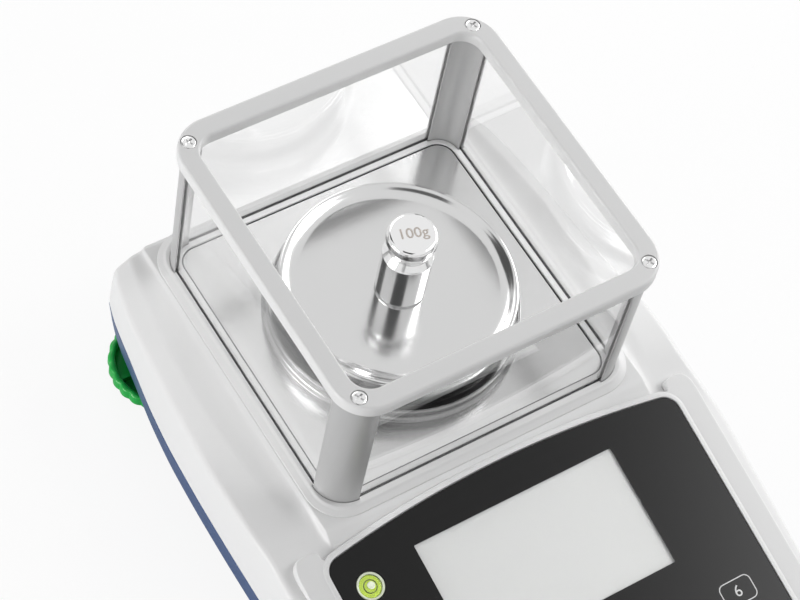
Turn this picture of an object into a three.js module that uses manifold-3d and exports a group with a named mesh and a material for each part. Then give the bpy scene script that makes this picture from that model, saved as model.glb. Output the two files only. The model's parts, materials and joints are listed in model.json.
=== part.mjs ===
// Precision balance with a glass draft shield. Millimetres, +Z up.
// The origin is on the table, under the middle of the body. The display faces the user at -Y.
import * as THREE from 'three';
import { mergeVertices } from 'three/addons/utils/BufferGeometryUtils.js';
import Module from 'manifold-3d';

// Running gaps and the overrun of cuts
const clearance = 0.3;
const overrun = 4;

// Body
const bodyHalfWidth = 109;
const lowerHeight = 22;
const noseHeight = 3.22;
const noseLength = 8;
const rearLedge = 0.8;
const shellWall = 2.5;
const deckDrop = 2;
const shoulderBelowPanel = 3.4;
const lowerDraft = 2;
const lowerEdgeRadius = 3.5;
const tongueHeight = 2.5;
const tongueWall = 1.1;
const tongueFrontGap = 40;
const columnHoleRadius = 16;

// Feet
const footInsetX = 30.4;
const footInsetY = 24.5;
const padRadius = 10;
const padHeight = 5;
const padSocketDepth = 3;
const wheelRadius = 24.4;
const wheelHeight = 6.7;
const wheelLobeDepth = 1.1;
const wheelLobes = 24;
const wheelWall = 2.6;
const wheelFloor = 1.8;
const wheelHubRadius = 8;
const wheelRibWidth = 1.8;
const wheelRibs = 6;
const wheelToBody = 5;
const studRadius = 4;
const studBallRadius = 5.2;
const studReach = 17;
const footBossRadius = 8;
const footBossHeadroom = 1;

// Steel deck plate and the moulded pad under it
const plateHalfX = 68;
const plateHalfY = 65.8;
const plateCornerRadius = 8;
const plateSheet = 1.2;
const plateHoleRadius = 20;

// Shield base frame, measured outwards from the plate
const frameWidthX = 11;
const frameWidthY = 11.4;
const frameSlopeX = 3;
const frameSlopeY = 2.7;
const frameCornerRadius = 17;
const frameStandsProud = 0.8;
const grooveToPlateX = 4.4;
const grooveToPlateY = 4.2;
const grooveDepth = 1.6;

// Glass panes and corner posts
const glassSheet = 2;
const postFaceToGlass = 2.1;
const postOuterRadius = 14;
const postInnerRadius = 10;
const postSlotDepth = 2.4;
const postSeatDepth = 1;

// Top rim and its screws
const rimUndersideZ = 75;
const rimHeight = 6.6;
const rimInsideGlassX = 5.1;
const rimInsideGlassY = 4.1;
const rimOutsideGlassX = 3.8;
const rimOutsideGlassY = 5.2;
const rimInnerCornerRadius = 9;
const rimOuterCornerRadius = 17;
const rimEdgeRadius = 1.8;
const rimGrooveDepth = 2.5;
const rimScrewFromArcX = 8.1;
const rimScrewFromArcY = 8.6;
const rimScrewHeadRadius = 3.4;
const rimScrewHeadDepth = 1.8;
const rimScrewShankRadius = 1.1;
const rimScrewBite = 7;
const crossSlotWidth = 0.9;
const crossSlotDepth = 1.1;

// Draft ring round the pan
const draftRingToPan = 1.6;
const draftRingFootFlare = 2.3;
const draftRingTopFlare = 1.6;
const draftRingHeight = 8;
const draftRingSheet = 1;
const draftRingBead = 1.3;

// Weighing pan and its carrier
const panFloorZ = 19.9;
const panRimRadius = 51.4;
const panBrimZ = 22.1;
const panFlareWidth = 5.6;
const panMiddleRadius = 16;
const panBrimWidth = 2;
const panRimBand = 3.4;
const panSkirtInset = 0.9;
const panSkirtZ = 7;
const panSheet = 1.2;
const bumperRadius = 5;
const bumperHeight = 1.5;
const bumperCircleRadius = 29;
const carrierRadius = 36;
const carrierSheet = 2.5;
const carrierHubRadius = 10;
const carrierHubHeight = 7;
const columnRadius = 6;
const columnFootRadius = 9;

// Calibration weight
const weightHeight = 40.4;
const weightRadius = 11.05;
const weightOffsetY = 1.2;
const weightBodyHeight = 26.5;
const weightKnobRadius = 10.2;
const weightKnobHeight = 6.6;
const weightNeckRadius = 7.4;
const weightChamfer = 1.2;

// Display: its plane falls towards the user from the line of the window's top edge
const displayTiltDegrees = 12.4;
const valleyWidth = 3.2;
const windowTopBelowPlate = 6.07;
const panelToSide = 22;
const panelApexAboveWindow = 16.1;
const panelBelowWindow = 44;
const panelArchRadius = 505;
const panelCornerRadius = 7;
const panelSheet = 0.8;
const windowToPanelSide = 37.75;
const windowHeight = 54.9;
const lipWidth = 2.1;
const lipHeight = 0.7;
const surroundMargin = 12.4;
const surroundCornerRadius = 9;
const surroundHeight = 6;
const surroundBelowPanel = 3.5;
const earMargin = 2.6;
const lcdMargin = 3;
const lcdThickness = 6;
const displayBoardMargin = 9;
const boardSheet = 1.6;
const displayBossRadius = 3;

// Level vial
const vialToPanelSide = 13.2;
const vialBelowWindowTop = 6.9;
const vialRadius = 6.2;
const vialFlange = 1.6;
const vialFlangeSheet = 1;
const vialDepth = 9;
const vialWall = 1.1;

// Load cell and chassis
const chassisWidth = 48;
const chassisOverhang = 4;
const chassisSheet = 3;
const chassisFeetHeight = 1.5;
const chassisFeetRadius = 4;
const cellWidth = 30;
const cellHeight = 22;
const cellToRear = 13;
const cellBoreRadius = 7;
const cellBoreSpacing = 30;
const cellWebSlot = 4;
const spacerHeight = 4;
const spacerLength = 26;
const bracketSheet = 4;
const bracketFootHeight = 3;
const bracketWidth = 28;
const bracketOverhang = 22;
const cellScrewRadius = 3;
const cellScrewHeadRadius = 5;
const cellScrewHeadHeight = 5;
const cellScrewInset = 7;
const cellScrewSpacing = 13;

// Main board and rear sockets
const mainBoardLength = 62;
const mainBoardToSide = 23;
const mainBoardToCell = 13;
const mainBoardToRear = 6;
const mainBoardAboveSeam = 3;
const mainBoardPostRadius = 3;
const mainBoardPostInset = 5;
const serialWidth = 30.8;
const serialHeight = 12.5;
const serialShellWidth = 18;
const serialShellHeight = 9;
const serialShellTaper = 1.4;
const serialDepth = 12;
const serialFlangeSheet = 1;
const serialToBoardEdge = 21;
const jackWidth = 9;
const jackHeight = 11;
const jackDepth = 13;
const jackBarrelRadius = 4.2;
const jackHoleRadius = 2.8;
const jackHoleDepth = 9;
const jackPinRadius = 1;
const jackToSerial = 9.1;

// Housing screws and the leads inside
const housingScrewToSide = 25;
const housingScrewToNose = 72;
const housingScrewToRear = 84;
const housingBossRadius = 5;
const housingScrewRadius = 1.7;
const housingScrewHeadRadius = 3.2;
const housingScrewHeadHeight = 2.2;
const housingScrewSunk = 3;
const housingScrewBite = 8;
const ribbonWidth = 16;
const ribbonToBoardEdge = 14.5;
const ribbonSheet = 0.8;
const leadRadius = 1.4;

// Counts of steps on round shapes
const roundSteps = 32;
const mediumSteps = 24;
const smallSteps = 10;
const cornerSteps = 5;
const archSteps = 12;
const loftSteps = 13;

// Rows of the body's section. Across, the seam, the shoulder and the ridge are shares of the flank from
// the deck's edge to the widest place. The deck rows run from the rear wall to the shield's front edge,
// and drop by shares of the upper height.
const deckRowShares = [
  { along: 0, seam: 0.505, shoulder: 0.458, shoulderDrop: 0.32, ridge: 0.199, ridgeDrop: 0.15, fall: 0.04 },
  { along: 0.007, seam: 0.552, shoulder: 0.508, shoulderDrop: 0.29, ridge: 0.242, ridgeDrop: 0.13, fall: 0 },
  { along: 0.084, seam: 0.63, shoulder: 0.599, shoulderDrop: 0.29, ridge: 0.306, ridgeDrop: 0.142, fall: 0 },
  { along: 0.213, seam: 0.741, shoulder: 0.707, shoulderDrop: 0.3, ridge: 0.411, ridgeDrop: 0.151, fall: 0 },
  { along: 0.393, seam: 0.886, shoulder: 0.785, shoulderDrop: 0.303, ridge: 0.505, ridgeDrop: 0.155, fall: 0 },
  { along: 0.535, seam: 0.953, shoulder: 0.832, shoulderDrop: 0.3, ridge: 0.508, ridgeDrop: 0.158, fall: 0 },
  { along: 0.728, seam: 0.99, shoulder: 0.892, shoulderDrop: 0.267, ridge: 0.438, ridgeDrop: 0.152, fall: 0 },
  { along: 0.889, seam: 1, shoulder: 0.886, shoulderDrop: 0.235, ridge: 0.35, ridgeDrop: 0.155, fall: 0 },
  { along: 1, seam: 1, shoulder: 0.852, shoulderDrop: 0.232, ridge: 0.219, ridgeDrop: 0.194, fall: 0 },
];
// The front rows run on to the nose, and drop below the display's plane by shares of the shoulder's drop
const frontRowShares = [
  { along: 0.02, seam: 1, shoulder: 0.852, shoulderDrop: 1.74, ridge: 0.22, ridgeDrop: 1.35, fall: 0.38 },
  { along: 0.068, seam: 1, shoulder: 0.862, shoulderDrop: 1.5, ridge: 0.24, ridgeDrop: 1.06, fall: 0.76 },
  { along: 0.177, seam: 0.995, shoulder: 0.87, shoulderDrop: 1, ridge: 0.6, ridgeDrop: 0.41, fall: 0.41 },
  { along: 0.41, seam: 0.966, shoulder: 0.865, shoulderDrop: 1, ridge: 0.6, ridgeDrop: 0.4, fall: 0.4 },
  { along: 0.682, seam: 0.9, shoulder: 0.83, shoulderDrop: 1, ridge: 0.58, ridgeDrop: 0.36, fall: 0.36 },
  { along: 0.876, seam: 0.81, shoulder: 0.75, shoulderDrop: 0.95, ridge: 0.5, ridgeDrop: 0.35, fall: 0.35 },
  { along: 0.969, seam: 0.63, shoulder: 0.58, shoulderDrop: 0.8, ridge: 0.37, ridgeDrop: 0.35, fall: 0.35 },
  { along: 1, seam: 0.3, shoulder: 0.27, shoulderDrop: 0.6, ridge: 0.09, ridgeDrop: 0.35, fall: 0.35 },
];
// The hollow between the deck and the ridge, and the bulge of the wall between the shoulder and the seam
const coveShares = [{ across: 0.62, down: 0.86 }, { across: 0.28, down: 0.5 }];
const wallBulgeShare = 0.66;

// Places worked out from the sizes above, outwards from the middle of the shield
const frameFootHalfX = plateHalfX + frameWidthX;
const frameFootHalfY = plateHalfY + frameWidthY;
const frameLipHalfX = frameFootHalfX - frameSlopeX;
const frameLipHalfY = frameFootHalfY - frameSlopeY;
const grooveHalfX = plateHalfX + grooveToPlateX;
const grooveHalfY = plateHalfY + grooveToPlateY;
const postArcX = grooveHalfX + postFaceToGlass - postOuterRadius;
const postArcY = grooveHalfY + postFaceToGlass - postOuterRadius;
const rimInnerHalfX = grooveHalfX - rimInsideGlassX;
const rimInnerHalfY = grooveHalfY - rimInsideGlassY;
const rimOuterHalfX = grooveHalfX + rimOutsideGlassX;
const rimOuterHalfY = grooveHalfY + rimOutsideGlassY;
const rimScrewX = postArcX + rimScrewFromArcX;
const rimScrewY = postArcY + rimScrewFromArcY;
const draftRingInnerRadius = panRimRadius + draftRingToPan;
const draftRingFootRadius = draftRingInnerRadius + draftRingFootFlare;
const draftRingTopRadius = draftRingInnerRadius + draftRingTopFlare;
const panFloorRadius = panRimRadius - panFlareWidth;
const panBrimRadius = panRimRadius - panBrimWidth;
const panSkirtRadius = panRimRadius - panSkirtInset;

// Display: across and along its own plane
const displayTilt = THREE.MathUtils.degToRad(displayTiltDegrees);
const panelHalfWidth = bodyHalfWidth - panelToSide;
const windowWidth = 2 * (panelHalfWidth - windowToPanelSide);
const vialX = panelHalfWidth - vialToPanelSide;
const windowTopToShield = frameFootHalfY + valleyWidth
  + (panelApexAboveWindow + lipWidth) * Math.cos(displayTilt);
const noseRun = (windowHeight + panelBelowWindow + surroundBelowPanel + noseLength) * Math.cos(displayTilt);
const noseFall = noseRun * Math.tan(displayTilt);

// Heights, up from the table
const wheelZ = padHeight + clearance;
const bodyBottomZ = wheelZ + wheelHeight + wheelToBody;
const seamZ = bodyBottomZ + lowerHeight;
const plateTopZ = seamZ + noseHeight + noseFall + windowTopBelowPlate;
const upperHeight = plateTopZ - seamZ;
const deckZ = plateTopZ - deckDrop;
const cellBottomZ = bodyBottomZ + shellWall + chassisFeetHeight + chassisSheet + spacerHeight;
const mainBoardZ = seamZ + mainBoardAboveSeam;

// Places along the body, whose middle is the origin
const shieldToRear = frameFootHalfY + rearLedge;
const bodyLength = shieldToRear + windowTopToShield + noseRun;
const rearY = bodyLength / 2;
const shieldY = rearY - shieldToRear;
const windowTopY = shieldY - windowTopToShield;
const deckHalfWidth = frameFootHalfX + clearance;
const deckRun = shieldToRear + frameFootHalfY;
const cellLength = 2 * (shieldToRear - cellToRear);
const chassisLength = cellLength + 2 * chassisOverhang;
const cellRearY = shieldY + cellLength / 2;
const mainBoardInnerX = cellWidth / 2 + mainBoardToCell;
const mainBoardWidth = bodyHalfWidth - mainBoardToSide - mainBoardInnerX;
const mainBoardX = mainBoardInnerX + mainBoardWidth / 2;
const mainBoardRearY = rearY - mainBoardToRear;
const panelTopSpace = panelSheet + clearance;
const footX = bodyHalfWidth - footInsetX;
const footY = rearY - footInsetY;

const wasm = await Module();
wasm.setup();

// Materials

function finish(colour, roughness, metalness = 0) {
  return new THREE.MeshStandardMaterial({ color: colour, roughness, metalness });
}

const finishes = {
  lightGrey: finish(0xe3e3e2, 0.45),
  slateBlue: finish(0x54698c, 0.5),
  shieldGrey: finish(0xd8d8d7, 0.4),
  steel: finish(0xb9bbbd, 0.32, 1),
  polished: finish(0xd9dadb, 0.08, 1),
  anodised: finish(0xb4b5b7, 0.42, 0.9),
  glass: new THREE.MeshStandardMaterial({ color: 0xf2f6f5, roughness: 0.05, transparent: true, opacity: 0.2 }),
  blackGloss: finish(0x1c1c1d, 0.12),
  lcdGrey: finish(0xcfd0cd, 0.35),
  vialGreen: finish(0xb6d236, 0.2),
  vialCup: finish(0xe8ece6, 0.4),
  footGreen: finish(0x00a33a, 0.4),
  rubber: finish(0x232426, 0.85),
  castMetal: finish(0x9a9ca0, 0.5, 0.9),
  circuit: finish(0x1f6b3f, 0.6),
  darkPlastic: finish(0x2b2c2e, 0.5),
  cordGrey: finish(0x8c8f93, 0.6),
};

// Solids

function signedVolume(points, faces) {
  let sum = 0;
  for (const [a, b, c] of faces) {
    sum += points[a].dot(points[b].clone().cross(points[c]));
  }
  return sum;
}

function meshFrom(points, faces) {
  const outward = signedVolume(points, faces) > 0;
  const order = outward ? faces : faces.map(([a, b, c]) => [a, c, b]);
  const geometry = new THREE.BufferGeometry().setFromPoints(points);
  geometry.setIndex(order.flat());
  return geometry;
}

function solidOf(geometry) {
  const bare = geometry.clone();
  bare.deleteAttribute('normal');
  bare.deleteAttribute('uv');
  const merged = mergeVertices(bare);
  const vertProperties = new Float32Array(merged.attributes.position.array);
  const triVerts = new Uint32Array(merged.index.array);
  return new wasm.Manifold(new wasm.Mesh({ numProp: 3, vertProperties, triVerts }));
}

function geometryOf(solid) {
  const mesh = solid.getMesh();
  const geometry = new THREE.BufferGeometry();
  geometry.setAttribute('position', new THREE.BufferAttribute(mesh.vertProperties, 3));
  geometry.setIndex(new THREE.BufferAttribute(mesh.triVerts, 1));
  return geometry;
}

function joined(first, ...others) {
  return others.reduce((solid, other) => solid.add(other), first);
}

function cutBy(first, ...others) {
  return others.reduce((solid, other) => solid.subtract(other), first);
}

// A rod along Z from one height to another, with a cone where the two radii differ
function rod(radius, fromZ, toZ, steps = smallSteps, topRadius = radius) {
  const geometry = new THREE.CylinderGeometry(topRadius, radius, toZ - fromZ, steps);
  return geometry.rotateX(Math.PI / 2).translate(0, 0, (fromZ + toZ) / 2);
}

function rodAt(x, y, radius, fromZ, toZ, steps = smallSteps) {
  return solidOf(rod(radius, fromZ, toZ, steps).translate(x, y, 0));
}

// A block from its middle in plan, its size in plan and two heights
function block(x, y, width, length, fromZ, toZ) {
  return new THREE.BoxGeometry(width, length, toZ - fromZ).translate(x, y, (fromZ + toZ) / 2);
}

function blockSolid(...sizes) {
  return solidOf(block(...sizes));
}

// A turned piece: the profile is pairs of radius and height
function turned(profile, steps = roundSteps) {
  const points = profile.map(([radius, height]) => new THREE.Vector2(radius, height));
  return new THREE.LatheGeometry(points, steps).rotateX(Math.PI / 2);
}

// Points of a rectangle with round corners, anticlockwise from the corner at +X +Y
const quarters = [[1, 1], [-1, 1], [-1, -1], [1, -1]];

function roundedLoop(halfX, halfY, radius) {
  const points = [];
  quarters.forEach(([signX, signY], quarter) => {
    for (let step = 0; step <= cornerSteps; step += 1) {
      const angle = (quarter + step / cornerSteps) * Math.PI / 2;
      const x = signX * (halfX - radius) + radius * Math.cos(angle);
      const y = signY * (halfY - radius) + radius * Math.sin(angle);
      points.push(new THREE.Vector2(x, y));
    }
  });
  return points;
}

function roundedPlate(halfX, halfY, radius, fromZ, toZ) {
  const shape = new THREE.Shape(roundedLoop(halfX, halfY, radius));
  const options = { depth: toZ - fromZ, bevelEnabled: false };
  return new THREE.ExtrudeGeometry(shape, options).translate(0, 0, fromZ);
}

function joinLoops(loops, closed) {
  const count = loops[0].length;
  const faces = [];
  const pairs = closed ? loops.length : loops.length - 1;
  for (let i = 0; i < pairs; i += 1) {
    const here = i * count;
    const there = ((i + 1) % loops.length) * count;
    for (let j = 0; j < count; j += 1) {
      const k = (j + 1) % count;
      faces.push([here + j, here + k, there + j]);
      faces.push([here + k, there + k, there + j]);
    }
  }
  return faces;
}

// A frame whose section is swept round a rectangle with round corners
function sweptFrame(section) {
  const loops = section.map(({ x, y, radius, z }) => (
    roundedLoop(x, y, radius).map((point) => new THREE.Vector3(point.x, point.y, z))));
  return meshFrom(loops.flat(), joinLoops(loops, true));
}

// A closed body through loops of points, capped at both ends. flatten gives the plane of the caps.
function lofted(loops, flatten) {
  const faces = joinLoops(loops, false);
  const lastStart = (loops.length - 1) * loops[0].length;
  for (const [loop, start] of [[loops[0], 0], [loops[loops.length - 1], lastStart]]) {
    const flat = loop.map(flatten);
    const backwards = (THREE.ShapeUtils.area(flat) > 0) === (start === 0);
    for (const [a, b, c] of THREE.ShapeUtils.triangulateShape(flat, [])) {
      const corners = backwards ? [a, c, b] : [a, b, c];
      faces.push(corners.map((corner) => start + corner));
    }
  }
  return meshFrom(loops.flat(), faces);
}

// The balance is filled piece by piece
const balance = new THREE.Group();
const shieldGroup = new THREE.Group();
shieldGroup.position.set(0, shieldY, plateTopZ);
const displayGroup = new THREE.Group();
displayGroup.position.set(0, windowTopY, plateTopZ - windowTopBelowPlate);
displayGroup.rotation.x = displayTilt;
displayGroup.updateMatrix();
balance.add(shieldGroup, displayGroup);

function addPiece(name, material, geometry, parent = balance) {
  const piece = new THREE.Mesh(geometry, material);
  piece.name = name;
  parent.add(piece);
  return piece;
}

function addSolid(name, material, solid, parent = balance) {
  return addPiece(name, material, geometryOf(solid), parent);
}

// A solid made in the tilted display's own frame, moved into the body's frame
function fromDisplay(geometry) {
  return solidOf(geometry.clone().applyMatrix4(displayGroup.matrix));
}

function fromShield(geometry) {
  return solidOf(geometry.clone().translate(0, shieldY, plateTopZ));
}

// Housing loft: each row of shares becomes sizes, and a smooth curve through the rows gives the rest
const rowFields = ['seam', 'shoulder', 'shoulderZ', 'ridge', 'ridgeZ', 'groundZ'];

function rowSizes(shares, y, topZ, height, groundTopZ) {
  const across = (share) => THREE.MathUtils.lerp(deckHalfWidth, bodyHalfWidth, share);
  return {
    y,
    seam: across(shares.seam),
    shoulder: across(shares.shoulder),
    shoulderZ: topZ - shares.shoulderDrop * height,
    ridge: across(shares.ridge),
    ridgeZ: topZ - shares.ridgeDrop * height,
    groundZ: groundTopZ - shares.fall * height,
  };
}

function displayPlaneZ(y) {
  return plateTopZ - windowTopBelowPlate + (y - windowTopY) * Math.tan(displayTilt);
}

const frontRun = bodyLength - deckRun;
const bodyRows = [
  ...deckRowShares.map((row) => rowSizes(row, rearY - row.along * deckRun, plateTopZ, upperHeight, deckZ)),
  ...frontRowShares.map((row) => {
    const y = rearY - deckRun - row.along * frontRun;
    return rowSizes(row, y, displayPlaneZ(y), shoulderBelowPanel, displayPlaneZ(y));
  }),
];

// Slopes for a smooth curve through points that never runs past them: the harmonic mean of the two
// neighbouring slopes, and level where the direction turns
function curveSlopes(places, values) {
  const steps = values.slice(1).map((value, i) => (value - values[i]) / (places[i + 1] - places[i]));
  const inner = steps.slice(1).map((step, i) => (step * steps[i] > 0 ? 2 * step * steps[i] / (step + steps[i]) : 0));
  return [steps[0], ...inner, steps[steps.length - 1]];
}

const rowRuns = bodyRows.map((row) => rearY - row.y);
const rowSlopes = Object.fromEntries(rowFields.map((field) => (
  [field, curveSlopes(rowRuns, bodyRows.map((row) => row[field]))])));

function bodyRow(y) {
  const run = THREE.MathUtils.clamp(rearY - y, 0, bodyLength);
  const next = Math.max(1, rowRuns.findIndex((place) => place >= run));
  const width = rowRuns[next] - rowRuns[next - 1];
  const t = (run - rowRuns[next - 1]) / width;
  const curve = (field) => {
    const from = bodyRows[next - 1][field];
    const to = bodyRows[next][field];
    const leave = rowSlopes[field][next - 1] * width;
    const arrive = rowSlopes[field][next] * width;
    const bend = 2 * (from - to) + leave + arrive;
    return from + t * (leave + t * (3 * (to - from) - 2 * leave - arrive + t * bend));
  };
  return Object.fromEntries(rowFields.map((field) => [field, curve(field)]));
}

// Places along the body: each given row, and steps between them
function rowPlaces() {
  const places = bodyRows.map((row) => row.y);
  const stride = bodyLength / loftSteps;
  for (let step = 1; step < loftSteps; step += 1) {
    const y = rearY - step * stride;
    const nearest = Math.min(...bodyRows.map((row) => Math.abs(row.y - y)));
    if (nearest > stride / 2) {
      places.push(y);
    }
  }
  return places.sort((a, b) => b - a);
}

// One side of a section from the seam up to the deck, as points [half width, height]
function halfSection(row) {
  const bulgeX = THREE.MathUtils.lerp(row.seam, row.shoulder, 1 - wallBulgeShare);
  const groundZ = Math.min(row.groundZ, deckZ);
  const points = [
    [row.seam, seamZ],
    [bulgeX, (seamZ + row.shoulderZ) / 2],
    [row.shoulder, row.shoulderZ],
    [row.ridge, row.ridgeZ],
  ];
  for (const { across, down } of coveShares) {
    points.push([
      THREE.MathUtils.lerp(deckHalfWidth, row.ridge, across),
      THREE.MathUtils.lerp(groundZ, row.ridgeZ, down),
    ]);
  }
  points.push([deckHalfWidth, groundZ]);
  return points;
}

// A whole section at one place along the body, drawn in by a wall
function bodySection(y, wall) {
  const half = halfSection(bodyRow(y)).map(([x, z]) => [x - wall, z - wall]);
  const right = half.map(([x, z]) => new THREE.Vector3(x, y, z));
  const left = half.map(([x, z]) => new THREE.Vector3(-x, y, z)).reverse();
  return [...right, ...left];
}

const sectionPlane = (point) => new THREE.Vector2(point.x, point.z);
const planPlane = (point) => new THREE.Vector2(point.x, point.y);

// The outline of the body in plan, drawn in all round
function planLoop(inset, z) {
  const limitShare = 1 - inset / rearY;
  const right = bodyRows.map((row) => new THREE.Vector3(row.seam - inset, row.y * limitShare, z));
  const left = right.map((point) => new THREE.Vector3(-point.x, point.y, point.z)).reverse();
  return [...right, ...left];
}

// A band between two outlines of the body, open in front where the nose is too low for it
function planBand(outerInset, innerInset, fromZ, toZ) {
  const outer = lofted([planLoop(outerInset, fromZ), planLoop(outerInset, toZ)], planPlane);
  const inner = lofted([planLoop(innerInset, fromZ - overrun), planLoop(innerInset, toZ + overrun)], planPlane);
  const front = block(0, -rearY, bodyLength, 2 * tongueFrontGap, fromZ - overrun, toZ + overrun);
  return cutBy(solidOf(outer), solidOf(inner), solidOf(front));
}

// The tongue of the lower housing that stands inside the upper one
function tongueBand(grow) {
  const inset = shellWall + clearance;
  return planBand(inset - grow, inset + tongueWall + grow, seamZ - tongueHeight, seamZ + tongueHeight + grow);
}

function outerBody() {
  return solidOf(lofted(rowPlaces().map((y) => bodySection(y, 0)), sectionPlane));
}

function innerBody() {
  const rearLimit = rearY - shellWall;
  const noseLimit = shellWall + noseLength - rearY;
  const inside = bodyRows.map((row) => row.y).filter((y) => y < rearLimit && y > noseLimit);
  const places = [rearLimit, ...inside, noseLimit];
  return solidOf(lofted(places.map((y) => bodySection(y, shellWall)), sectionPlane));
}

// Display outlines, in the display's own plane, grown outwards by a margin

function panelOutline(grow) {
  const halfWidth = panelHalfWidth + grow;
  const apex = panelApexAboveWindow + grow;
  const bottom = -windowHeight - panelBelowWindow - grow;
  const archRadius = panelArchRadius + grow;
  const corner = panelCornerRadius + grow;
  const archY = apex - archRadius;
  const cornerX = halfWidth - corner;
  const cornerY = archY + Math.sqrt((archRadius - corner) ** 2 - cornerX ** 2);
  const meet = Math.atan2(cornerY - archY, cornerX);
  const shape = new THREE.Shape();
  shape.absarc(-cornerX, bottom + corner, corner, Math.PI, Math.PI * 3 / 2);
  shape.absarc(cornerX, bottom + corner, corner, Math.PI * 3 / 2, Math.PI * 2);
  shape.absarc(cornerX, cornerY, corner, 0, meet);
  shape.absarc(0, archY, archRadius, meet, Math.PI - meet);
  shape.absarc(-cornerX, cornerY, corner, Math.PI - meet, Math.PI);
  return shape;
}

function panelBody(grow, fromZ, toZ) {
  const options = { depth: toZ - fromZ, bevelEnabled: false, curveSegments: archSteps / 2 };
  return new THREE.ExtrudeGeometry(panelOutline(grow), options).translate(0, 0, fromZ);
}

const panelBottomY = -windowHeight - panelBelowWindow;
const windowMiddleY = -windowHeight / 2;
const surroundHalfX = panelHalfWidth + surroundMargin;
const surroundTopY = panelApexAboveWindow;
const surroundBottomY = panelBottomY - surroundBelowPanel;

// The raised ground round the panel: it follows the panel's arch and has an ear at each upper corner
function surroundBody() {
  const middleY = (surroundTopY + surroundBottomY) / 2;
  const halfY = (surroundTopY - surroundBottomY) / 2;
  const ground = roundedPlate(surroundHalfX, halfY, surroundCornerRadius, -surroundHeight, 0);
  const notchWidth = 2 * (panelHalfWidth - earMargin + lipWidth);
  const notchY = surroundTopY - surroundCornerRadius / 2;
  const notch = block(0, notchY, notchWidth, 2 * surroundCornerRadius, -surroundHeight - overrun, overrun);
  const earsOnly = fromDisplay(ground.translate(0, middleY, 0)).subtract(fromDisplay(notch));
  const lip = fromDisplay(panelBody(lipWidth, -surroundHeight, lipHeight));
  return earsOnly.add(lip);
}

// Screw places that join the two housings
const housingScrewX = bodyHalfWidth - housingScrewToSide;
const housingScrews = [
  ['fl', -housingScrewX, housingScrewToNose - rearY],
  ['fr', housingScrewX, housingScrewToNose - rearY],
  ['bl', -housingScrewX, rearY - housingScrewToRear],
  ['br', housingScrewX, rearY - housingScrewToRear],
];

const lcdHalfX = windowWidth / 2 + lcdMargin;
const lcdHalfY = windowHeight / 2 + lcdMargin;
const displayBoardHalfX = lcdHalfX + displayBoardMargin;
const displayBoardTopZ = -panelTopSpace - lcdThickness - clearance;

function displayBossPlaces() {
  const reachX = displayBoardHalfX - displayBossRadius - clearance;
  const reachY = lcdHalfY - displayBossRadius;
  return [[-reachX, -reachY], [reachX, -reachY], [-reachX, reachY], [reachX, reachY]];
}

function displayBosses() {
  const bosses = displayBossPlaces().map(([x, y]) => (
    fromDisplay(rod(displayBossRadius, displayBoardTopZ + clearance, -panelTopSpace, smallSteps / 2)
      .translate(x, windowMiddleY + y, 0))));
  return joined(...bosses);
}

const serialX = -mainBoardInnerX - serialToBoardEdge;
const jackX = serialX - (serialWidth + jackWidth) / 2 - jackToSerial;
const socketFloorZ = mainBoardZ + boardSheet;
const serialZ = socketFloorZ + serialHeight / 2;
const jackZ = socketFloorZ + jackHeight / 2;

function rearOpenings() {
  const halfWidth = serialShellWidth / 2 + clearance;
  const halfHeight = serialShellHeight / 2 + clearance;
  const shell = block(serialX, rearY, 2 * halfWidth, 2 * overrun, serialZ - halfHeight, serialZ + halfHeight);
  const barrel = rod(jackBarrelRadius + clearance, -overrun, overrun).rotateX(Math.PI / 2);
  return solidOf(shell).add(solidOf(barrel.translate(jackX, rearY, jackZ)));
}

// Upper housing: a loft from the rear wall to the nose, hollow, with the deck pad, the display ground,
// the screw bosses and the openings
function upperHousing() {
  const pad = roundedPlate(plateHalfX - clearance - shellWall / 2, plateHalfY - clearance - shellWall / 2,
    plateCornerRadius, -deckDrop - shellWall / 2, -plateSheet);
  let shell = joined(outerBody(), fromShield(pad), surroundBody());
  const outside = shell;
  shell = shell.subtract(innerBody());
  for (const [, x, y] of housingScrews) {
    const boss = rodAt(x, y, housingBossRadius, seamZ, plateTopZ);
    shell = shell.add(boss.intersect(outside));
  }
  shell = shell.add(displayBosses());
  for (const [, x, y] of housingScrews) {
    shell = shell.subtract(rodAt(x, y, housingScrewRadius + clearance, seamZ - overrun,
      seamZ + housingScrewBite + clearance + overrun / 2));
  }
  const recess = fromDisplay(panelBody(clearance, -panelTopSpace, overrun));
  const opening = fromDisplay(block(0, windowMiddleY, 2 * (lcdHalfX + clearance), 2 * (lcdHalfY + clearance),
    -lcdThickness - overrun - surroundHeight, overrun));
  const vialHole = fromDisplay(rod(vialRadius + clearance, -vialDepth * 2, overrun)
    .translate(-vialX, -vialBelowWindowTop, 0));
  const flangeSeat = fromDisplay(rod(vialRadius + vialFlange + clearance,
    -panelTopSpace - vialFlangeSheet - clearance, 0).translate(-vialX, -vialBelowWindowTop, 0));
  const columnHole = rodAt(0, shieldY, columnHoleRadius, seamZ, plateTopZ + overrun, mediumSteps);
  return cutBy(shell, recess, opening, vialHole, flangeSeat, columnHole, rearOpenings(), tongueBand(clearance));
}

addSolid('upper_housing', finishes.lightGrey, upperHousing());

// Lower housing: a tray whose walls lean in towards the bottom

function tray(wall, floor, topZ) {
  const low = bodyBottomZ + floor;
  const levels = [
    [wall, topZ],
    [wall + lowerDraft, low + lowerEdgeRadius],
    [wall + lowerDraft + lowerEdgeRadius / 3, low + lowerEdgeRadius / 3],
    [wall + lowerDraft + lowerEdgeRadius, low],
  ];
  const loops = levels.map(([inset, z]) => planLoop(inset, z));
  return solidOf(lofted(loops, planPlane));
}

const footPlaces = [
  ['fl', -footX, -footY],
  ['fr', footX, -footY],
  ['bl', -footX, footY],
  ['br', footX, footY],
];

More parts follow.
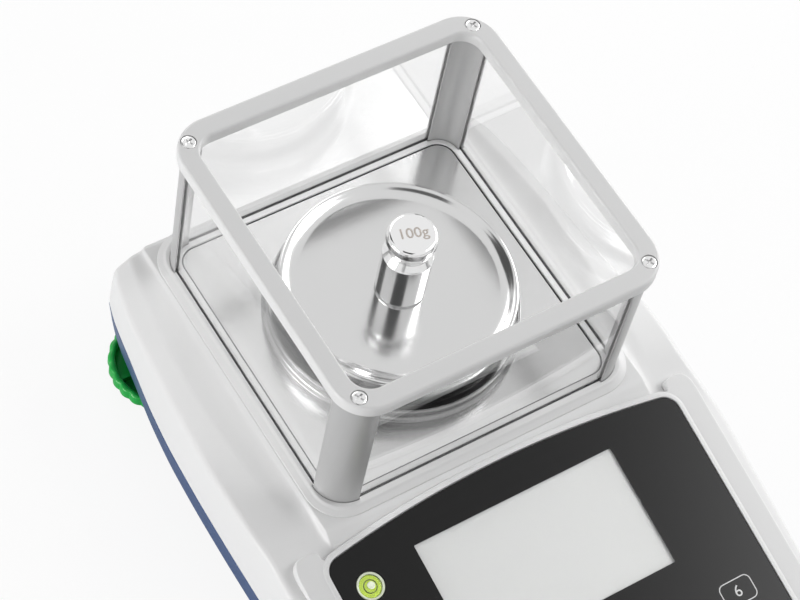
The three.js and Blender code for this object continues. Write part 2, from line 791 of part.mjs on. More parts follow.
const floorZ = bodyBottomZ + shellWall;
const chassisY = shieldY;

function chassisFeetPlaces() {
  const x = chassisWidth / 2 - chassisFeetRadius;
  const y = chassisLength / 2 - chassisFeetRadius;
  return [[-x, chassisY - y], [x, chassisY - y], [-x, chassisY + y], [x, chassisY + y]];
}

function mainBoardPostPlaces() {
  const x = mainBoardWidth / 2 - mainBoardPostInset;
  const y = mainBoardLength / 2 - mainBoardPostInset;
  const middleY = mainBoardRearY - mainBoardLength / 2;
  return [[-mainBoardX - x, middleY - y], [-mainBoardX + x, middleY - y],
    [-mainBoardX - x, middleY + y], [-mainBoardX + x, middleY + y]];
}

function lowerHousing() {
  let shell = tray(0, 0, seamZ).subtract(tray(shellWall, shellWall, seamZ + overrun));
  const root = planBand(shellWall / 2, shellWall + clearance + tongueWall, seamZ - tongueHeight,
    seamZ - tongueHeight / 2);
  shell = joined(shell, tongueBand(0), root);
  for (const [, x, y] of footPlaces) {
    shell = shell.add(rodAt(x, y, footBossRadius, bodyBottomZ, seamZ - footBossHeadroom));
  }
  for (const [, x, y] of housingScrews) {
    shell = shell.add(rodAt(x, y, housingBossRadius, bodyBottomZ, seamZ));
  }
  for (const [x, y] of chassisFeetPlaces()) {
    shell = shell.add(rodAt(x, y, chassisFeetRadius, bodyBottomZ, floorZ + chassisFeetHeight));
  }
  for (const [x, y] of mainBoardPostPlaces()) {
    shell = shell.add(rodAt(x, y, mainBoardPostRadius, bodyBottomZ, mainBoardZ, smallSteps / 2));
  }
  for (const [, x, y] of footPlaces) {
    shell = shell.subtract(rodAt(x, y, studRadius + clearance, bodyBottomZ - overrun, seamZ + overrun));
  }
  for (const [, x, y] of housingScrews) {
    const headTopZ = bodyBottomZ + housingScrewSunk + housingScrewHeadHeight;
    const head = rodAt(x, y, housingScrewHeadRadius + clearance, bodyBottomZ - overrun, headTopZ);
    const shank = rodAt(x, y, housingScrewRadius + clearance, bodyBottomZ, seamZ + overrun);
    shell = cutBy(shell, head, shank);
  }
  return shell;
}

addSolid('lower_housing', finishes.slateBlue, lowerHousing());

for (const [place, x, y] of housingScrews) {
  const headZ = bodyBottomZ + housingScrewSunk;
  const screw = joined(
    rodAt(0, 0, housingScrewHeadRadius, headZ, headZ + housingScrewHeadHeight, smallSteps / 2),
    rodAt(0, 0, housingScrewRadius, headZ, seamZ + housingScrewBite, smallSteps / 2),
  );
  addSolid(`housing_screw_${place}`, finishes.steel, screw).position.set(x, y, 0);
}

// Levelling feet: a rubber pad, a threaded stud standing in it and a hand wheel on the stud

function footPad() {
  const socketRadius = studBallRadius + clearance;
  const lip = padSocketDepth / 2;
  return turned([
    [0, 0], [padRadius - lip / 2, 0], [padRadius, lip], [padRadius - lip / 2, padHeight],
    [socketRadius, padHeight], [socketRadius, padHeight - padSocketDepth], [0, padHeight - padSocketDepth],
  ], smallSteps);
}

function footStud() {
  const ballZ = padHeight - padSocketDepth + clearance;
  const ballTopZ = padHeight - clearance;
  const topZ = bodyBottomZ + studReach;
  const point = studRadius / 4;
  return turned([
    [0, ballZ], [studBallRadius, ballZ], [studBallRadius, ballTopZ], [studRadius, ballTopZ],
    [studRadius, topZ - point], [studRadius - point, topZ], [0, topZ],
  ], smallSteps);
}

function wheelOutline(lobed) {
  const points = [];
  const stepsPerLobe = 3;
  const count = wheelLobes * stepsPerLobe;
  for (let step = 0; step < count; step += 1) {
    const angle = 2 * Math.PI * step / count;
    const dip = lobed ? wheelLobeDepth * (1 - Math.abs(Math.cos(angle * wheelLobes / 2))) : 0;
    const radius = wheelRadius - dip;
    points.push(new THREE.Vector2(radius * Math.cos(angle), radius * Math.sin(angle)));
  }
  return new THREE.Shape(points);
}

// Hand wheel: a scalloped cup, open at the top, with a hub and ribs
function footWheel() {
  const options = { depth: wheelHeight, bevelEnabled: false };
  const disc = solidOf(new THREE.ExtrudeGeometry(wheelOutline(true), options));
  const hollowRadius = wheelRadius - wheelLobeDepth - wheelWall;
  let wheel = disc.subtract(rodAt(0, 0, hollowRadius, wheelFloor, wheelHeight + overrun, mediumSteps));
  for (let rib = 0; rib < wheelRibs; rib += 1) {
    const angle = 2 * Math.PI * rib / wheelRibs;
    const reach = hollowRadius + wheelWall / 2;
    const plate = block(reach / 2, 0, reach, wheelRibWidth, wheelFloor / 2, wheelHeight - wheelRibWidth);
    wheel = wheel.add(solidOf(plate.rotateZ(angle)));
  }
  wheel = wheel.add(rodAt(0, 0, wheelHubRadius, 0, wheelHeight));
  return wheel.subtract(rodAt(0, 0, studRadius + clearance, -overrun, wheelHeight + overrun));
}

for (const [place, x, y] of footPlaces) {
  addPiece(`foot_pad_${place}`, finishes.rubber, footPad()).position.set(x, y, 0);
  addPiece(`foot_stud_${place}`, finishes.steel, footStud()).position.set(x, y, 0);
  addSolid(`foot_wheel_${place}`, finishes.footGreen, footWheel()).position.set(x, y, wheelZ);
}

// Weighing deck: steel plate, draft ring

const deckPlate = solidOf(roundedPlate(plateHalfX, plateHalfY, plateCornerRadius, -plateSheet, 0))
  .subtract(rodAt(0, 0, plateHoleRadius, -plateSheet - overrun, overrun, mediumSteps));
addSolid('deck_plate', finishes.steel, deckPlate, shieldGroup);

const beadReach = draftRingSheet + draftRingBead;
const beadTurn = draftRingBead / 2;
addPiece('draft_ring', finishes.polished, turned([
  [draftRingInnerRadius, 0],
  [draftRingFootRadius, 0],
  [draftRingFootRadius, beadTurn],
  [draftRingInnerRadius + draftRingSheet + beadTurn, draftRingBead],
  [draftRingInnerRadius + draftRingSheet, beadReach],
  [draftRingInnerRadius + draftRingSheet, draftRingHeight - beadReach],
  [draftRingTopRadius, draftRingHeight - draftRingBead],
  [draftRingTopRadius, draftRingHeight - beadTurn],
  [draftRingTopRadius - beadTurn, draftRingHeight],
  [draftRingInnerRadius, draftRingHeight],
  [draftRingInnerRadius, 0],
]), shieldGroup);

// Draft shield: base frame with a groove for the glass, quarter-round posts, panes and the top rim

const grooveHalf = glassSheet / 2 + clearance;

// One edge of the groove for the glass. It bends round the same centre as the posts.
function grooveLevel(side, z) {
  const reach = side * grooveHalf;
  return { x: grooveHalfX + reach, y: grooveHalfY + reach, radius: grooveHalfX - postArcX + reach, z };
}

function baseFrame() {
  const lipZ = frameStandsProud;
  const lipRadius = frameCornerRadius - (frameFootHalfX - frameLipHalfX);
  const innerX = plateHalfX + clearance;
  const innerY = plateHalfY + clearance;
  const inner = { x: innerX, y: innerY, radius: plateCornerRadius + clearance };
  const softEdge = frameStandsProud / 2;
  return sweptFrame([
    { ...inner, z: -deckDrop },
    { ...inner, z: lipZ - softEdge },
    { x: innerX + softEdge, y: innerY + softEdge, radius: inner.radius + softEdge, z: lipZ },
    grooveLevel(-1, lipZ),
    grooveLevel(-1, lipZ - grooveDepth),
    grooveLevel(1, lipZ - grooveDepth),
    grooveLevel(1, lipZ),
    { x: frameLipHalfX - softEdge, y: frameLipHalfY - softEdge, radius: lipRadius - softEdge, z: lipZ },
    { x: frameLipHalfX, y: frameLipHalfY, radius: lipRadius, z: lipZ - softEdge },
    { x: frameFootHalfX, y: frameFootHalfY, radius: frameCornerRadius, z: -deckDrop },
  ]);
}

// The posts' section is a quarter of a ring. The first corner is at +X +Y, the others mirror it.
function postSection(grow) {
  const shape = new THREE.Shape();
  const outer = postOuterRadius + grow;
  const inner = postInnerRadius - grow;
  shape.moveTo(outer, -grow);
  shape.absarc(0, 0, outer, 0, Math.PI / 2);
  shape.lineTo(-grow, outer);
  shape.lineTo(-grow, inner);
  shape.absarc(0, 0, inner, Math.PI / 2, 0, true);
  shape.lineTo(inner, -grow);
  return shape;
}

function postBody(grow, fromZ, toZ) {
  const options = { depth: toZ - fromZ, bevelEnabled: false, curveSegments: cornerSteps };
  const geometry = new THREE.ExtrudeGeometry(postSection(grow), options);
  return geometry.translate(postArcX, postArcY, fromZ);
}

const corners = [['fl', -1, -1], ['fr', 1, -1], ['bl', -1, 1], ['br', 1, 1]];
const postBottomZ = frameStandsProud - postSeatDepth;

function mirrored(geometry, signX, signY) {
  const copy = mergeVertices(geometry).scale(signX, signY, 1);
  if (signX * signY < 0) {
    const order = [...copy.index.array];
    copy.setIndex(order.map((corner, i) => order[i + [0, 1, -1][i % 3]]));
  }
  return copy;
}

function cornerPost() {
  const slotX = grooveHalfX;
  const slotY = grooveHalfY;
  const slotWidth = 2 * grooveHalf;
  const sideSlot = block(slotX, postArcY, slotWidth, 2 * postSlotDepth, postBottomZ - overrun,
    rimUndersideZ + overrun);
  const frontSlot = block(postArcX, slotY, 2 * postSlotDepth, slotWidth, postBottomZ - overrun,
    rimUndersideZ + overrun);
  const screwHole = rodAt(rimScrewX, rimScrewY, rimScrewShankRadius + clearance,
    rimUndersideZ - rimScrewBite - clearance, rimUndersideZ + overrun, smallSteps / 2);
  return cutBy(solidOf(postBody(0, postBottomZ, rimUndersideZ)), solidOf(sideSlot), solidOf(frontSlot), screwHole);
}

function shieldFrame() {
  let frame = solidOf(baseFrame());
  for (const [, signX, signY] of corners) {
    const seat = mirrored(postBody(clearance, postBottomZ, frameStandsProud + overrun), signX, signY);
    frame = frame.subtract(solidOf(seat));
  }
  return frame;
}

addSolid('shield_frame', finishes.shieldGrey, shieldFrame(), shieldGroup);

const postGeometry = geometryOf(cornerPost());
for (const [place, signX, signY] of corners) {
  addPiece(`shield_post_${place}`, finishes.anodised, mirrored(postGeometry, signX, signY), shieldGroup);
}

function addGlass(name, x, y, width, length) {
  const fromZ = frameStandsProud - grooveDepth;
  const toZ = rimUndersideZ + rimGrooveDepth - clearance;
  addPiece(name, finishes.glass, block(x, y, width, length, fromZ, toZ), shieldGroup);
}

const glassReachX = 2 * (postArcX + postSlotDepth - 2 * clearance);
const glassReachY = 2 * (postArcY + postSlotDepth - 2 * clearance);
addGlass('glass_front', 0, -grooveHalfY, glassReachX, glassSheet);
addGlass('glass_back', 0, grooveHalfY, glassReachX, glassSheet);
addGlass('glass_left', -grooveHalfX, 0, glassSheet, glassReachY);
addGlass('glass_right', grooveHalfX, 0, glassSheet, glassReachY);

// Top rim: its section has round edges and a groove for the glass on its underside
function rimLevel(reach, z) {
  const share = reach / (rimOuterHalfX - rimInnerHalfX);
  return {
    x: rimInnerHalfX + reach,
    y: THREE.MathUtils.lerp(rimInnerHalfY, rimOuterHalfY, share),
    radius: THREE.MathUtils.lerp(rimInnerCornerRadius, rimOuterCornerRadius, share),
    z,
  };
}

function topRim() {
  const width = rimOuterHalfX - rimInnerHalfX;
  const topZ = rimUndersideZ + rimHeight;
  const turn = rimEdgeRadius * (1 - Math.SQRT1_2);
  const section = [
    rimLevel(rimEdgeRadius, rimUndersideZ),
    grooveLevel(-1, rimUndersideZ),
    grooveLevel(-1, rimUndersideZ + rimGrooveDepth),
    grooveLevel(1, rimUndersideZ + rimGrooveDepth),
    grooveLevel(1, rimUndersideZ),
    rimLevel(width - rimEdgeRadius, rimUndersideZ),
    rimLevel(width - turn, rimUndersideZ + turn),
    rimLevel(width, rimUndersideZ + rimEdgeRadius),
    rimLevel(width, topZ - rimEdgeRadius),
    rimLevel(width - turn, topZ - turn),
    rimLevel(width - rimEdgeRadius, topZ),
    rimLevel(rimEdgeRadius, topZ),
    rimLevel(turn, topZ - turn),
    rimLevel(0, topZ - rimEdgeRadius),
    rimLevel(0, rimUndersideZ + rimEdgeRadius),
    rimLevel(turn, rimUndersideZ + turn),
  ];
  let rim = solidOf(sweptFrame(section));
  for (const [, signX, signY] of corners) {
    const x = signX * rimScrewX;
    const y = signY * rimScrewY;
    const head = rodAt(x, y, rimScrewHeadRadius + clearance, topZ - rimScrewHeadDepth - clearance, topZ + overrun);
    const shank = rodAt(x, y, rimScrewShankRadius + clearance, rimUndersideZ - overrun, topZ, smallSteps / 2);
    rim = cutBy(rim, head, shank);
  }
  return rim;
}

addSolid('shield_rim', finishes.shieldGrey, topRim(), shieldGroup);

// Cross-head screw, its head flush with the rim
function rimScrew() {
  const topZ = rimUndersideZ + rimHeight;
  const head = rodAt(0, 0, rimScrewHeadRadius, topZ - rimScrewHeadDepth, topZ);
  const shank = rodAt(0, 0, rimScrewShankRadius, rimUndersideZ - rimScrewBite, topZ - rimScrewHeadDepth / 2,
    smallSteps / 2);
  const slotLength = rimScrewHeadRadius;
  const along = blockSolid(0, 0, slotLength, crossSlotWidth, topZ - crossSlotDepth, topZ + overrun);
  const across = blockSolid(0, 0, crossSlotWidth, slotLength, topZ - crossSlotDepth, topZ + overrun);
  return cutBy(joined(head, shank), along, across);
}

for (const [place, signX, signY] of corners) {
  const screw = addSolid(`rim_screw_${place}`, finishes.steel, rimScrew(), shieldGroup);
  screw.position.set(signX * rimScrewX, signY * rimScrewY, 0);
}

// Weighing pan: one sheet, flat floor, flared brim and a rolled rim that turns down into a skirt
const panUndersideZ = panFloorZ - panSheet;
const rimBandZ = panBrimZ - panSheet;
const skirtInner = panSkirtRadius - panSheet;
addPiece('weighing_pan', finishes.steel, turned([
  [0, panUndersideZ],
  [panFloorRadius + panSheet / 4, panUndersideZ],
  [skirtInner - panSheet / 2, rimBandZ - panSheet / 4],
  [skirtInner, rimBandZ - panSheet],
  [skirtInner, panSkirtZ],
  [panSkirtRadius, panSkirtZ],
  [panSkirtRadius, rimBandZ - panRimBand - panSheet],
  [panRimRadius, rimBandZ - panRimBand],
  [panRimRadius, rimBandZ],
  [panRimRadius - panSheet / 3, panBrimZ - panSheet / 3],
  [(panRimRadius + panBrimRadius) / 2, panBrimZ],
  [panBrimRadius, panBrimZ - panSheet / 8],
  [panFloorRadius, panFloorZ],
  [panMiddleRadius, panFloorZ],
  [0, panFloorZ],
]), shieldGroup);

// Pan carrier: a disc with a hub that sits on the column, and rubber bumpers under the pan
const carrierTopZ = panUndersideZ - bumperHeight;
const carrierUndersideZ = carrierTopZ - carrierSheet;
const hubBottomZ = carrierUndersideZ - carrierHubHeight;
addPiece('pan_carrier', finishes.castMetal, turned([
  [0, carrierUndersideZ],
  [columnRadius + clearance, carrierUndersideZ],
  [columnRadius + clearance, hubBottomZ],
  [carrierHubRadius, hubBottomZ],
  [carrierHubRadius, carrierUndersideZ],
  [carrierRadius, carrierUndersideZ],
  [carrierRadius, carrierTopZ],
  [0, carrierTopZ],
], mediumSteps), shieldGroup);

for (let bumper = 0; bumper < 3; bumper += 1) {
  const angle = Math.PI * (1 / 2 + 2 * bumper / 3);
  const piece = addPiece(`pan_bumper_${bumper + 1}`, finishes.rubber,
    rod(bumperRadius, carrierTopZ, panUndersideZ), shieldGroup);
  piece.position.set(bumperCircleRadius * Math.cos(angle), bumperCircleRadius * Math.sin(angle), 0);
}

// Calibration weight: knob, waisted neck, shoulder and cylinder
const knobBottom = weightHeight - weightKnobHeight;
const neckMiddle = (weightBodyHeight + knobBottom) / 2;
const weight = addPiece('calibration_weight', finishes.polished, turned([
  [0, 0],
  [weightRadius - weightChamfer, 0],
  [weightRadius, weightChamfer],
  [weightRadius, weightBodyHeight - weightChamfer],
  [weightRadius - weightChamfer, weightBodyHeight],
  [weightNeckRadius + weightChamfer, neckMiddle - weightChamfer],
  [weightNeckRadius, neckMiddle],
  [weightNeckRadius + weightChamfer, neckMiddle + weightChamfer],
  [weightKnobRadius, knobBottom + weightChamfer / 2],
  [weightKnobRadius, weightHeight - weightChamfer],
  [weightKnobRadius - weightChamfer, weightHeight],
  [0, weightHeight],
], mediumSteps), shieldGroup);
weight.position.set(0, -weightOffsetY, panFloorZ);

// Display: black panel with a window, module behind it, board under the module, level vial

const panelCuts = [
  solidOf(block(0, windowMiddleY, windowWidth, windowHeight, -panelSheet - overrun, overrun)),
  solidOf(rod(vialRadius + clearance, -panelSheet - overrun, overrun)
    .translate(-vialX, -vialBelowWindowTop, 0)),
];
addSolid('display_panel', finishes.blackGloss, cutBy(solidOf(panelBody(0, -panelSheet, 0)), ...panelCuts),
  displayGroup);

const lcdTopZ = -panelTopSpace;
addPiece('lcd_module', finishes.lcdGrey,
  block(0, windowMiddleY, 2 * lcdHalfX, 2 * lcdHalfY, lcdTopZ - lcdThickness, lcdTopZ), displayGroup);
addPiece('display_board', finishes.circuit,
  block(0, windowMiddleY, 2 * displayBoardHalfX, 2 * lcdHalfY, displayBoardTopZ - boardSheet, displayBoardTopZ),
  displayGroup);

const vialFlangeRadius = vialRadius + vialFlange;
const vialInner = vialRadius - vialWall;
const flangeTopZ = -panelTopSpace;
const flangeBottomZ = flangeTopZ - vialFlangeSheet;
const vialCup = addPiece('vial_cup', finishes.vialCup, turned([
  [0, -vialDepth],
  [vialRadius, -vialDepth],
  [vialRadius, flangeBottomZ],
  [vialFlangeRadius, flangeBottomZ],
  [vialFlangeRadius, flangeTopZ],
  [vialRadius, flangeTopZ],
  [vialRadius, 0],
  [vialInner, 0],
  [vialInner, vialWall - vialDepth],
  [0, vialWall - vialDepth],
], smallSteps), displayGroup);
vialCup.position.set(-vialX, -vialBelowWindowTop, 0);
const vialFluid = addPiece('vial_fluid', finishes.vialGreen,
  rod(vialInner - clearance, vialWall - vialDepth + clearance, -clearance), displayGroup);
vialFluid.position.copy(vialCup.position);

// Weighing mechanism: chassis plate, load cell on a spacer, bracket with the pan's column

const chassisZ = floorZ + chassisFeetHeight;
addPiece('chassis_plate', finishes.castMetal,
  block(0, chassisY, chassisWidth, chassisLength, chassisZ, chassisZ + chassisSheet));

const cellFrontY = cellRearY - cellLength;
const fixedY = cellFrontY + spacerLength / 2;
const cellTopZ = cellBottomZ + cellHeight;
const cellScrewPlaces = [-1, 1].map((side) => cellFrontY + cellScrewInset + (side + 1) / 2 * cellScrewSpacing);

function screwHoles(fromZ, toZ) {
  return cellScrewPlaces.map((y) => rodAt(0, y, cellScrewRadius + clearance, fromZ, toZ));
}

const spacer = cutBy(
  blockSolid(0, fixedY, cellWidth, spacerLength, cellBottomZ - spacerHeight, cellBottomZ),
  ...screwHoles(cellBottomZ - spacerHeight - overrun, cellBottomZ + overrun),
);
addSolid('cell_spacer', finishes.castMetal, spacer);

// The load cell's side view: a bar with two bores joined by a slot, which makes it bend in parallel
function cellProfile() {
  const shape = new THREE.Shape();
  const half = cellLength / 2;
  shape.moveTo(-half, 0);
  shape.lineTo(half, 0);
  shape.lineTo(half, cellHeight);
  shape.lineTo(-half, cellHeight);
  shape.closePath();
  const slot = Math.asin(cellWebSlot / 2 / cellBoreRadius);
  const hole = new THREE.Path();
  hole.absarc(cellBoreSpacing / 2, cellHeight / 2, cellBoreRadius, Math.PI - slot, slot - Math.PI, true);
  hole.absarc(-cellBoreSpacing / 2, cellHeight / 2, cellBoreRadius, -slot, slot, true);
  hole.closePath();
  shape.holes.push(hole);
  return shape;
}

function loadCell() {
  const options = { depth: cellWidth, bevelEnabled: false, curveSegments: smallSteps };
  const bar = new THREE.ExtrudeGeometry(cellProfile(), options).translate(0, 0, -cellWidth / 2);
  bar.rotateX(Math.PI / 2).rotateZ(Math.PI / 2).translate(0, shieldY, cellBottomZ);
  return cutBy(solidOf(bar), ...screwHoles(cellBottomZ - overrun, cellTopZ + overrun));
}

addSolid('load_cell', finishes.castMetal, loadCell());

cellScrewPlaces.forEach((y, i) => {
  const screw = joined(
    rodAt(0, 0, cellScrewHeadRadius, cellTopZ, cellTopZ + cellScrewHeadHeight),
    rodAt(0, 0, cellScrewRadius, cellBottomZ - spacerHeight, cellTopZ + cellScrewHeadHeight / 2),
  );
  addSolid(`cell_screw_${i + 1}`, finishes.steel, screw).position.set(0, y, 0);
});

const bracketZ = cellTopZ + bracketFootHeight;
const columnTopZ = plateTopZ + carrierUndersideZ - clearance;
const bracketFrontY = shieldY - bracketOverhang;
const bracket = joined(
  blockSolid(0, (bracketFrontY + cellRearY) / 2, bracketWidth, cellRearY - bracketFrontY,
    bracketZ, bracketZ + bracketSheet),
  blockSolid(0, cellRearY - spacerLength / 2, bracketWidth, spacerLength, cellTopZ, bracketZ + bracketSheet),
  solidOf(rod(columnFootRadius, bracketZ, plateTopZ - deckDrop - shellWall, smallSteps, columnRadius)
    .translate(0, shieldY, 0)),
  rodAt(0, shieldY, columnRadius, bracketZ, columnTopZ),
);
addSolid('pan_bracket', finishes.castMetal, bracket);

// Main board with the serial port and the power jack, which look out of the rear wall

const mainBoardMiddleY = mainBoardRearY - mainBoardLength / 2;
addPiece('main_board', finishes.circuit,
  block(-mainBoardX, mainBoardMiddleY, mainBoardWidth, mainBoardLength, mainBoardZ, mainBoardZ + boardSheet));

function serialPort() {
  const halfWidth = serialShellWidth / 2;
  const halfHeight = serialShellHeight / 2;
  const shell = new THREE.Shape([
    new THREE.Vector2(-halfWidth, halfHeight),
    new THREE.Vector2(serialShellTaper - halfWidth, -halfHeight),
    new THREE.Vector2(halfWidth - serialShellTaper, -halfHeight),
    new THREE.Vector2(halfWidth, halfHeight),
  ]);
  const options = { depth: serialDepth, bevelEnabled: false };
  const nose = new THREE.ExtrudeGeometry(shell, options).rotateX(Math.PI / 2);
  nose.translate(serialX, rearY, serialZ);
  const flangeY = rearY - shellWall - clearance - serialFlangeSheet / 2;
  const flange = block(serialX, flangeY, serialWidth, serialFlangeSheet, socketFloorZ, socketFloorZ + serialHeight);
  return joined(solidOf(nose), solidOf(flange));
}

function powerJack() {
  const bodyFrontY = rearY - shellWall - clearance;
  const body = block(jackX, bodyFrontY - jackDepth / 2, jackWidth, jackDepth, socketFloorZ, socketFloorZ + jackHeight);
  const alongY = (radius, depth) => rod(radius, 0, depth).rotateX(Math.PI / 2).translate(jackX, rearY, jackZ);
  const barrel = solidOf(alongY(jackBarrelRadius, shellWall + overrun / 2));
  const hole = solidOf(alongY(jackHoleRadius, jackHoleDepth).translate(0, clearance, 0));
  const pin = solidOf(alongY(jackPinRadius, jackHoleDepth).translate(0, -clearance, 0));
  return joined(cutBy(joined(solidOf(body), barrel), hole), pin);
}

addSolid('serial_port', finishes.steel, serialPort());
addSolid('power_jack', finishes.darkPlastic, powerJack());

// Ribbon from the main board to the display board, and the load cell's lead

function sweptTube(section, points, steps) {
  const path = new THREE.CatmullRomCurve3(points);
  return new THREE.ExtrudeGeometry(section, { extrudePath: path, steps, bevelEnabled: false });
}

const ribbonX = -mainBoardInnerX - ribbonToBoardEdge;
const boardEdgeY = mainBoardRearY - mainBoardLength;
const boardTopZ = mainBoardZ + boardSheet + clearance;
const displayEdge = new THREE.Vector3(ribbonX, windowMiddleY + lcdHalfY, displayBoardTopZ - boardSheet)
  .applyMatrix4(displayGroup.matrix);
displayEdge.z -= clearance + ribbonSheet;

function ribbonLine(lift) {
  const slope = Math.tan(displayTilt);
  const tuck = ribbonWidth / 2;
  const points = [
    new THREE.Vector2(displayEdge.y - tuck, displayEdge.z - tuck * slope + lift),
    new THREE.Vector2(displayEdge.y + tuck, displayEdge.z - ribbonSheet + lift),
    new THREE.Vector2((displayEdge.y + boardEdgeY) / 2, (displayEdge.z + boardTopZ) / 2 - tuck + lift),
    new THREE.Vector2(boardEdgeY - tuck, boardTopZ + lift),
    new THREE.Vector2(boardEdgeY + tuck, boardTopZ + lift),
  ];
  return new THREE.SplineCurve(points).getPoints(smallSteps);
}

function ribbon() {
  const shape = new THREE.Shape([...ribbonLine(0), ...ribbonLine(ribbonSheet).reverse()]);
  const strip = new THREE.ExtrudeGeometry(shape, { depth: ribbonWidth, bevelEnabled: false });
  return strip.rotateX(Math.PI / 2).rotateZ(Math.PI / 2).translate(ribbonX - ribbonWidth / 2, 0, 0);
}

addPiece('display_ribbon', finishes.cordGrey, ribbon());

const leadStart = new THREE.Vector3(-cellWidth / 2 - clearance, cellFrontY + spacerLength, cellTopZ - leadRadius * 2);
const leadEnd = new THREE.Vector3(-mainBoardInnerX - leadRadius * 2, boardEdgeY + leadRadius * 2,
  boardTopZ + leadRadius);
const leadSection = new THREE.Shape().absarc(0, 0, leadRadius, 0, Math.PI * 2);
const leadCurve = [
  leadStart,
  leadStart.clone().add(new THREE.Vector3(-leadRadius * 3, 0, 0)),
  new THREE.Vector3(leadEnd.x, (leadStart.y + leadEnd.y) / 2, leadEnd.z),
  leadEnd.clone().add(new THREE.Vector3(0, -leadRadius * 3, 0)),
  leadEnd,
];
const leadOptions = { extrudePath: new THREE.CatmullRomCurve3(leadCurve), steps: smallSteps, curveSegments: 4 };
addPiece('cell_lead', finishes.cordGrey,
  new THREE.ExtrudeGeometry(leadSection, { ...leadOptions, bevelEnabled: false }));

export default balance;
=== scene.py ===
"""Looks of a precision balance with a glass draft shield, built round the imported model.

Sizes are millimetres in the object's own frame: X to the right, Y to the rear, Z up from the table.
Meshes turn them to metres when they are made.
"""

import json
import logging
import math
from dataclasses import dataclass, field
from enum import Enum
from typing import Sequence

import bmesh
import bpy
import numpy as np
from mathutils import Euler, Matrix, Vector

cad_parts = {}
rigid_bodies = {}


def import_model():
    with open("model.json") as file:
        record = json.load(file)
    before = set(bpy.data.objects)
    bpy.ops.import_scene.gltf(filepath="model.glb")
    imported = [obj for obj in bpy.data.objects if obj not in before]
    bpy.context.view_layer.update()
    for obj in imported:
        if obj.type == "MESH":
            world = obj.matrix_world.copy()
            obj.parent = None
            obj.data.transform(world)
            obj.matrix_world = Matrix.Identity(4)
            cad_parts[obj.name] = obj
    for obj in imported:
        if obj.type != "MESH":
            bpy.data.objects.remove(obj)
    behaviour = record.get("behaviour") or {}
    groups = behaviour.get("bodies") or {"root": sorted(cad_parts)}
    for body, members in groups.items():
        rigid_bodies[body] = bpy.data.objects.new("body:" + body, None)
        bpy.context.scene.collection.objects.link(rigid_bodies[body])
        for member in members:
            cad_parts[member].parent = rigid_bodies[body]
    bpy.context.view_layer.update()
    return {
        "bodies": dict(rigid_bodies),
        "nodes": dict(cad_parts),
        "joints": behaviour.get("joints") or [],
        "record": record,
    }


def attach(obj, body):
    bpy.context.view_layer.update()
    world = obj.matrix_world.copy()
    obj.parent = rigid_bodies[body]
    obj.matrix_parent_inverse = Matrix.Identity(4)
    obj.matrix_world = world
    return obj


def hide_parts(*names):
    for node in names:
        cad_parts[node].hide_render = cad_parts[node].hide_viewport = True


log = logging.getLogger("balance")

METRES = 0.001
# Points nearer than this are one point, and faces thinner than this go; in metres
WELD = 2e-6
SLIVER = 1e-6
# Outline points nearer than this repeat each other, and a length is at least this before it divides; in millimetres
SAME_PLACE = 1e-4
TINY = 1e-9
SHARP_DEGREES = 32.0
NORMAL_WEIGHT = 60
WHITE = (1, 1, 1, 1)
# A figure's height as a share of its lettering's size
FIGURE_SHARE = 0.7
Array = np.ndarray
Pair = tuple[float, float]
Triple = tuple[float, float, float]
Tree = bpy.types.NodeTree
Object = bpy.types.Object


# Colour and nodes


def linear(hex_colour: str) -> tuple[float, float, float, float]:
    """Turns an sRGB hex colour into linear light.

    Args:
        hex_colour: six hex digits, such as "d8d8d6".

    Returns:
        Red, green, blue and an alpha of 1.
    """
    shades = np.array([int(hex_colour[i:i + 2], 16) for i in (0, 2, 4)]) / 255
    low = shades / 12.92
    high = ((shades + 0.055) / 1.055) ** 2.4
    red, green, blue = np.where(shades <= 0.04045, low, high)
    return float(red), float(green), float(blue), 1.0


def cells_of(size_mm: float) -> float:
    """Gives the texture scale whose cells are size_mm wide on Object coordinates in metres."""
    return 1 / (size_mm * METRES)


def add_node(tree: Tree, kind: str, values: dict | None = None, links: dict | None = None,
             **settings: object) -> bpy.types.Node:
    """Adds one node with its settings, its socket values and its incoming links.

    Args:
        tree: the material's node tree.
        kind: the node's type name.
        values: input name or number to the value it holds.
        links: input name or number to the output that feeds it.
        settings: the node's own properties.

    Returns:
        The new node.
    """
    node = tree.nodes.new(kind)
    for name, value in settings.items():
        setattr(node, name, value)
    for key, value in (values or {}).items():
        node.inputs[key].default_value = value
    for key, output in (links or {}).items():
        tree.links.new(output, node.inputs[key])
    return node


def bare_material(name: str) -> tuple[bpy.types.Material, Tree]:
    """Makes an empty node material.

    Args:
        name: the material's name.

    Returns:
        The material and its node tree.
    """
    material = bpy.data.materials.new(name)
    material.use_nodes = True
    material.node_tree.nodes.clear()
    return material, material.node_tree


def lighter(colour: str, share: float) -> tuple[float, float, float, float]:
    """Scales a hex colour's linear light by 1 + share.

    Args:
        colour: six hex digits.
        share: how much lighter; below 0 for darker.

    Returns:
        Red, green, blue and alpha, none above 1.
    """
    red, green, blue, alpha = linear(colour)
    scaled = (min(1.0, shade * (1 + share)) for shade in (red, green, blue))
    return (*scaled, alpha)


# Finishes


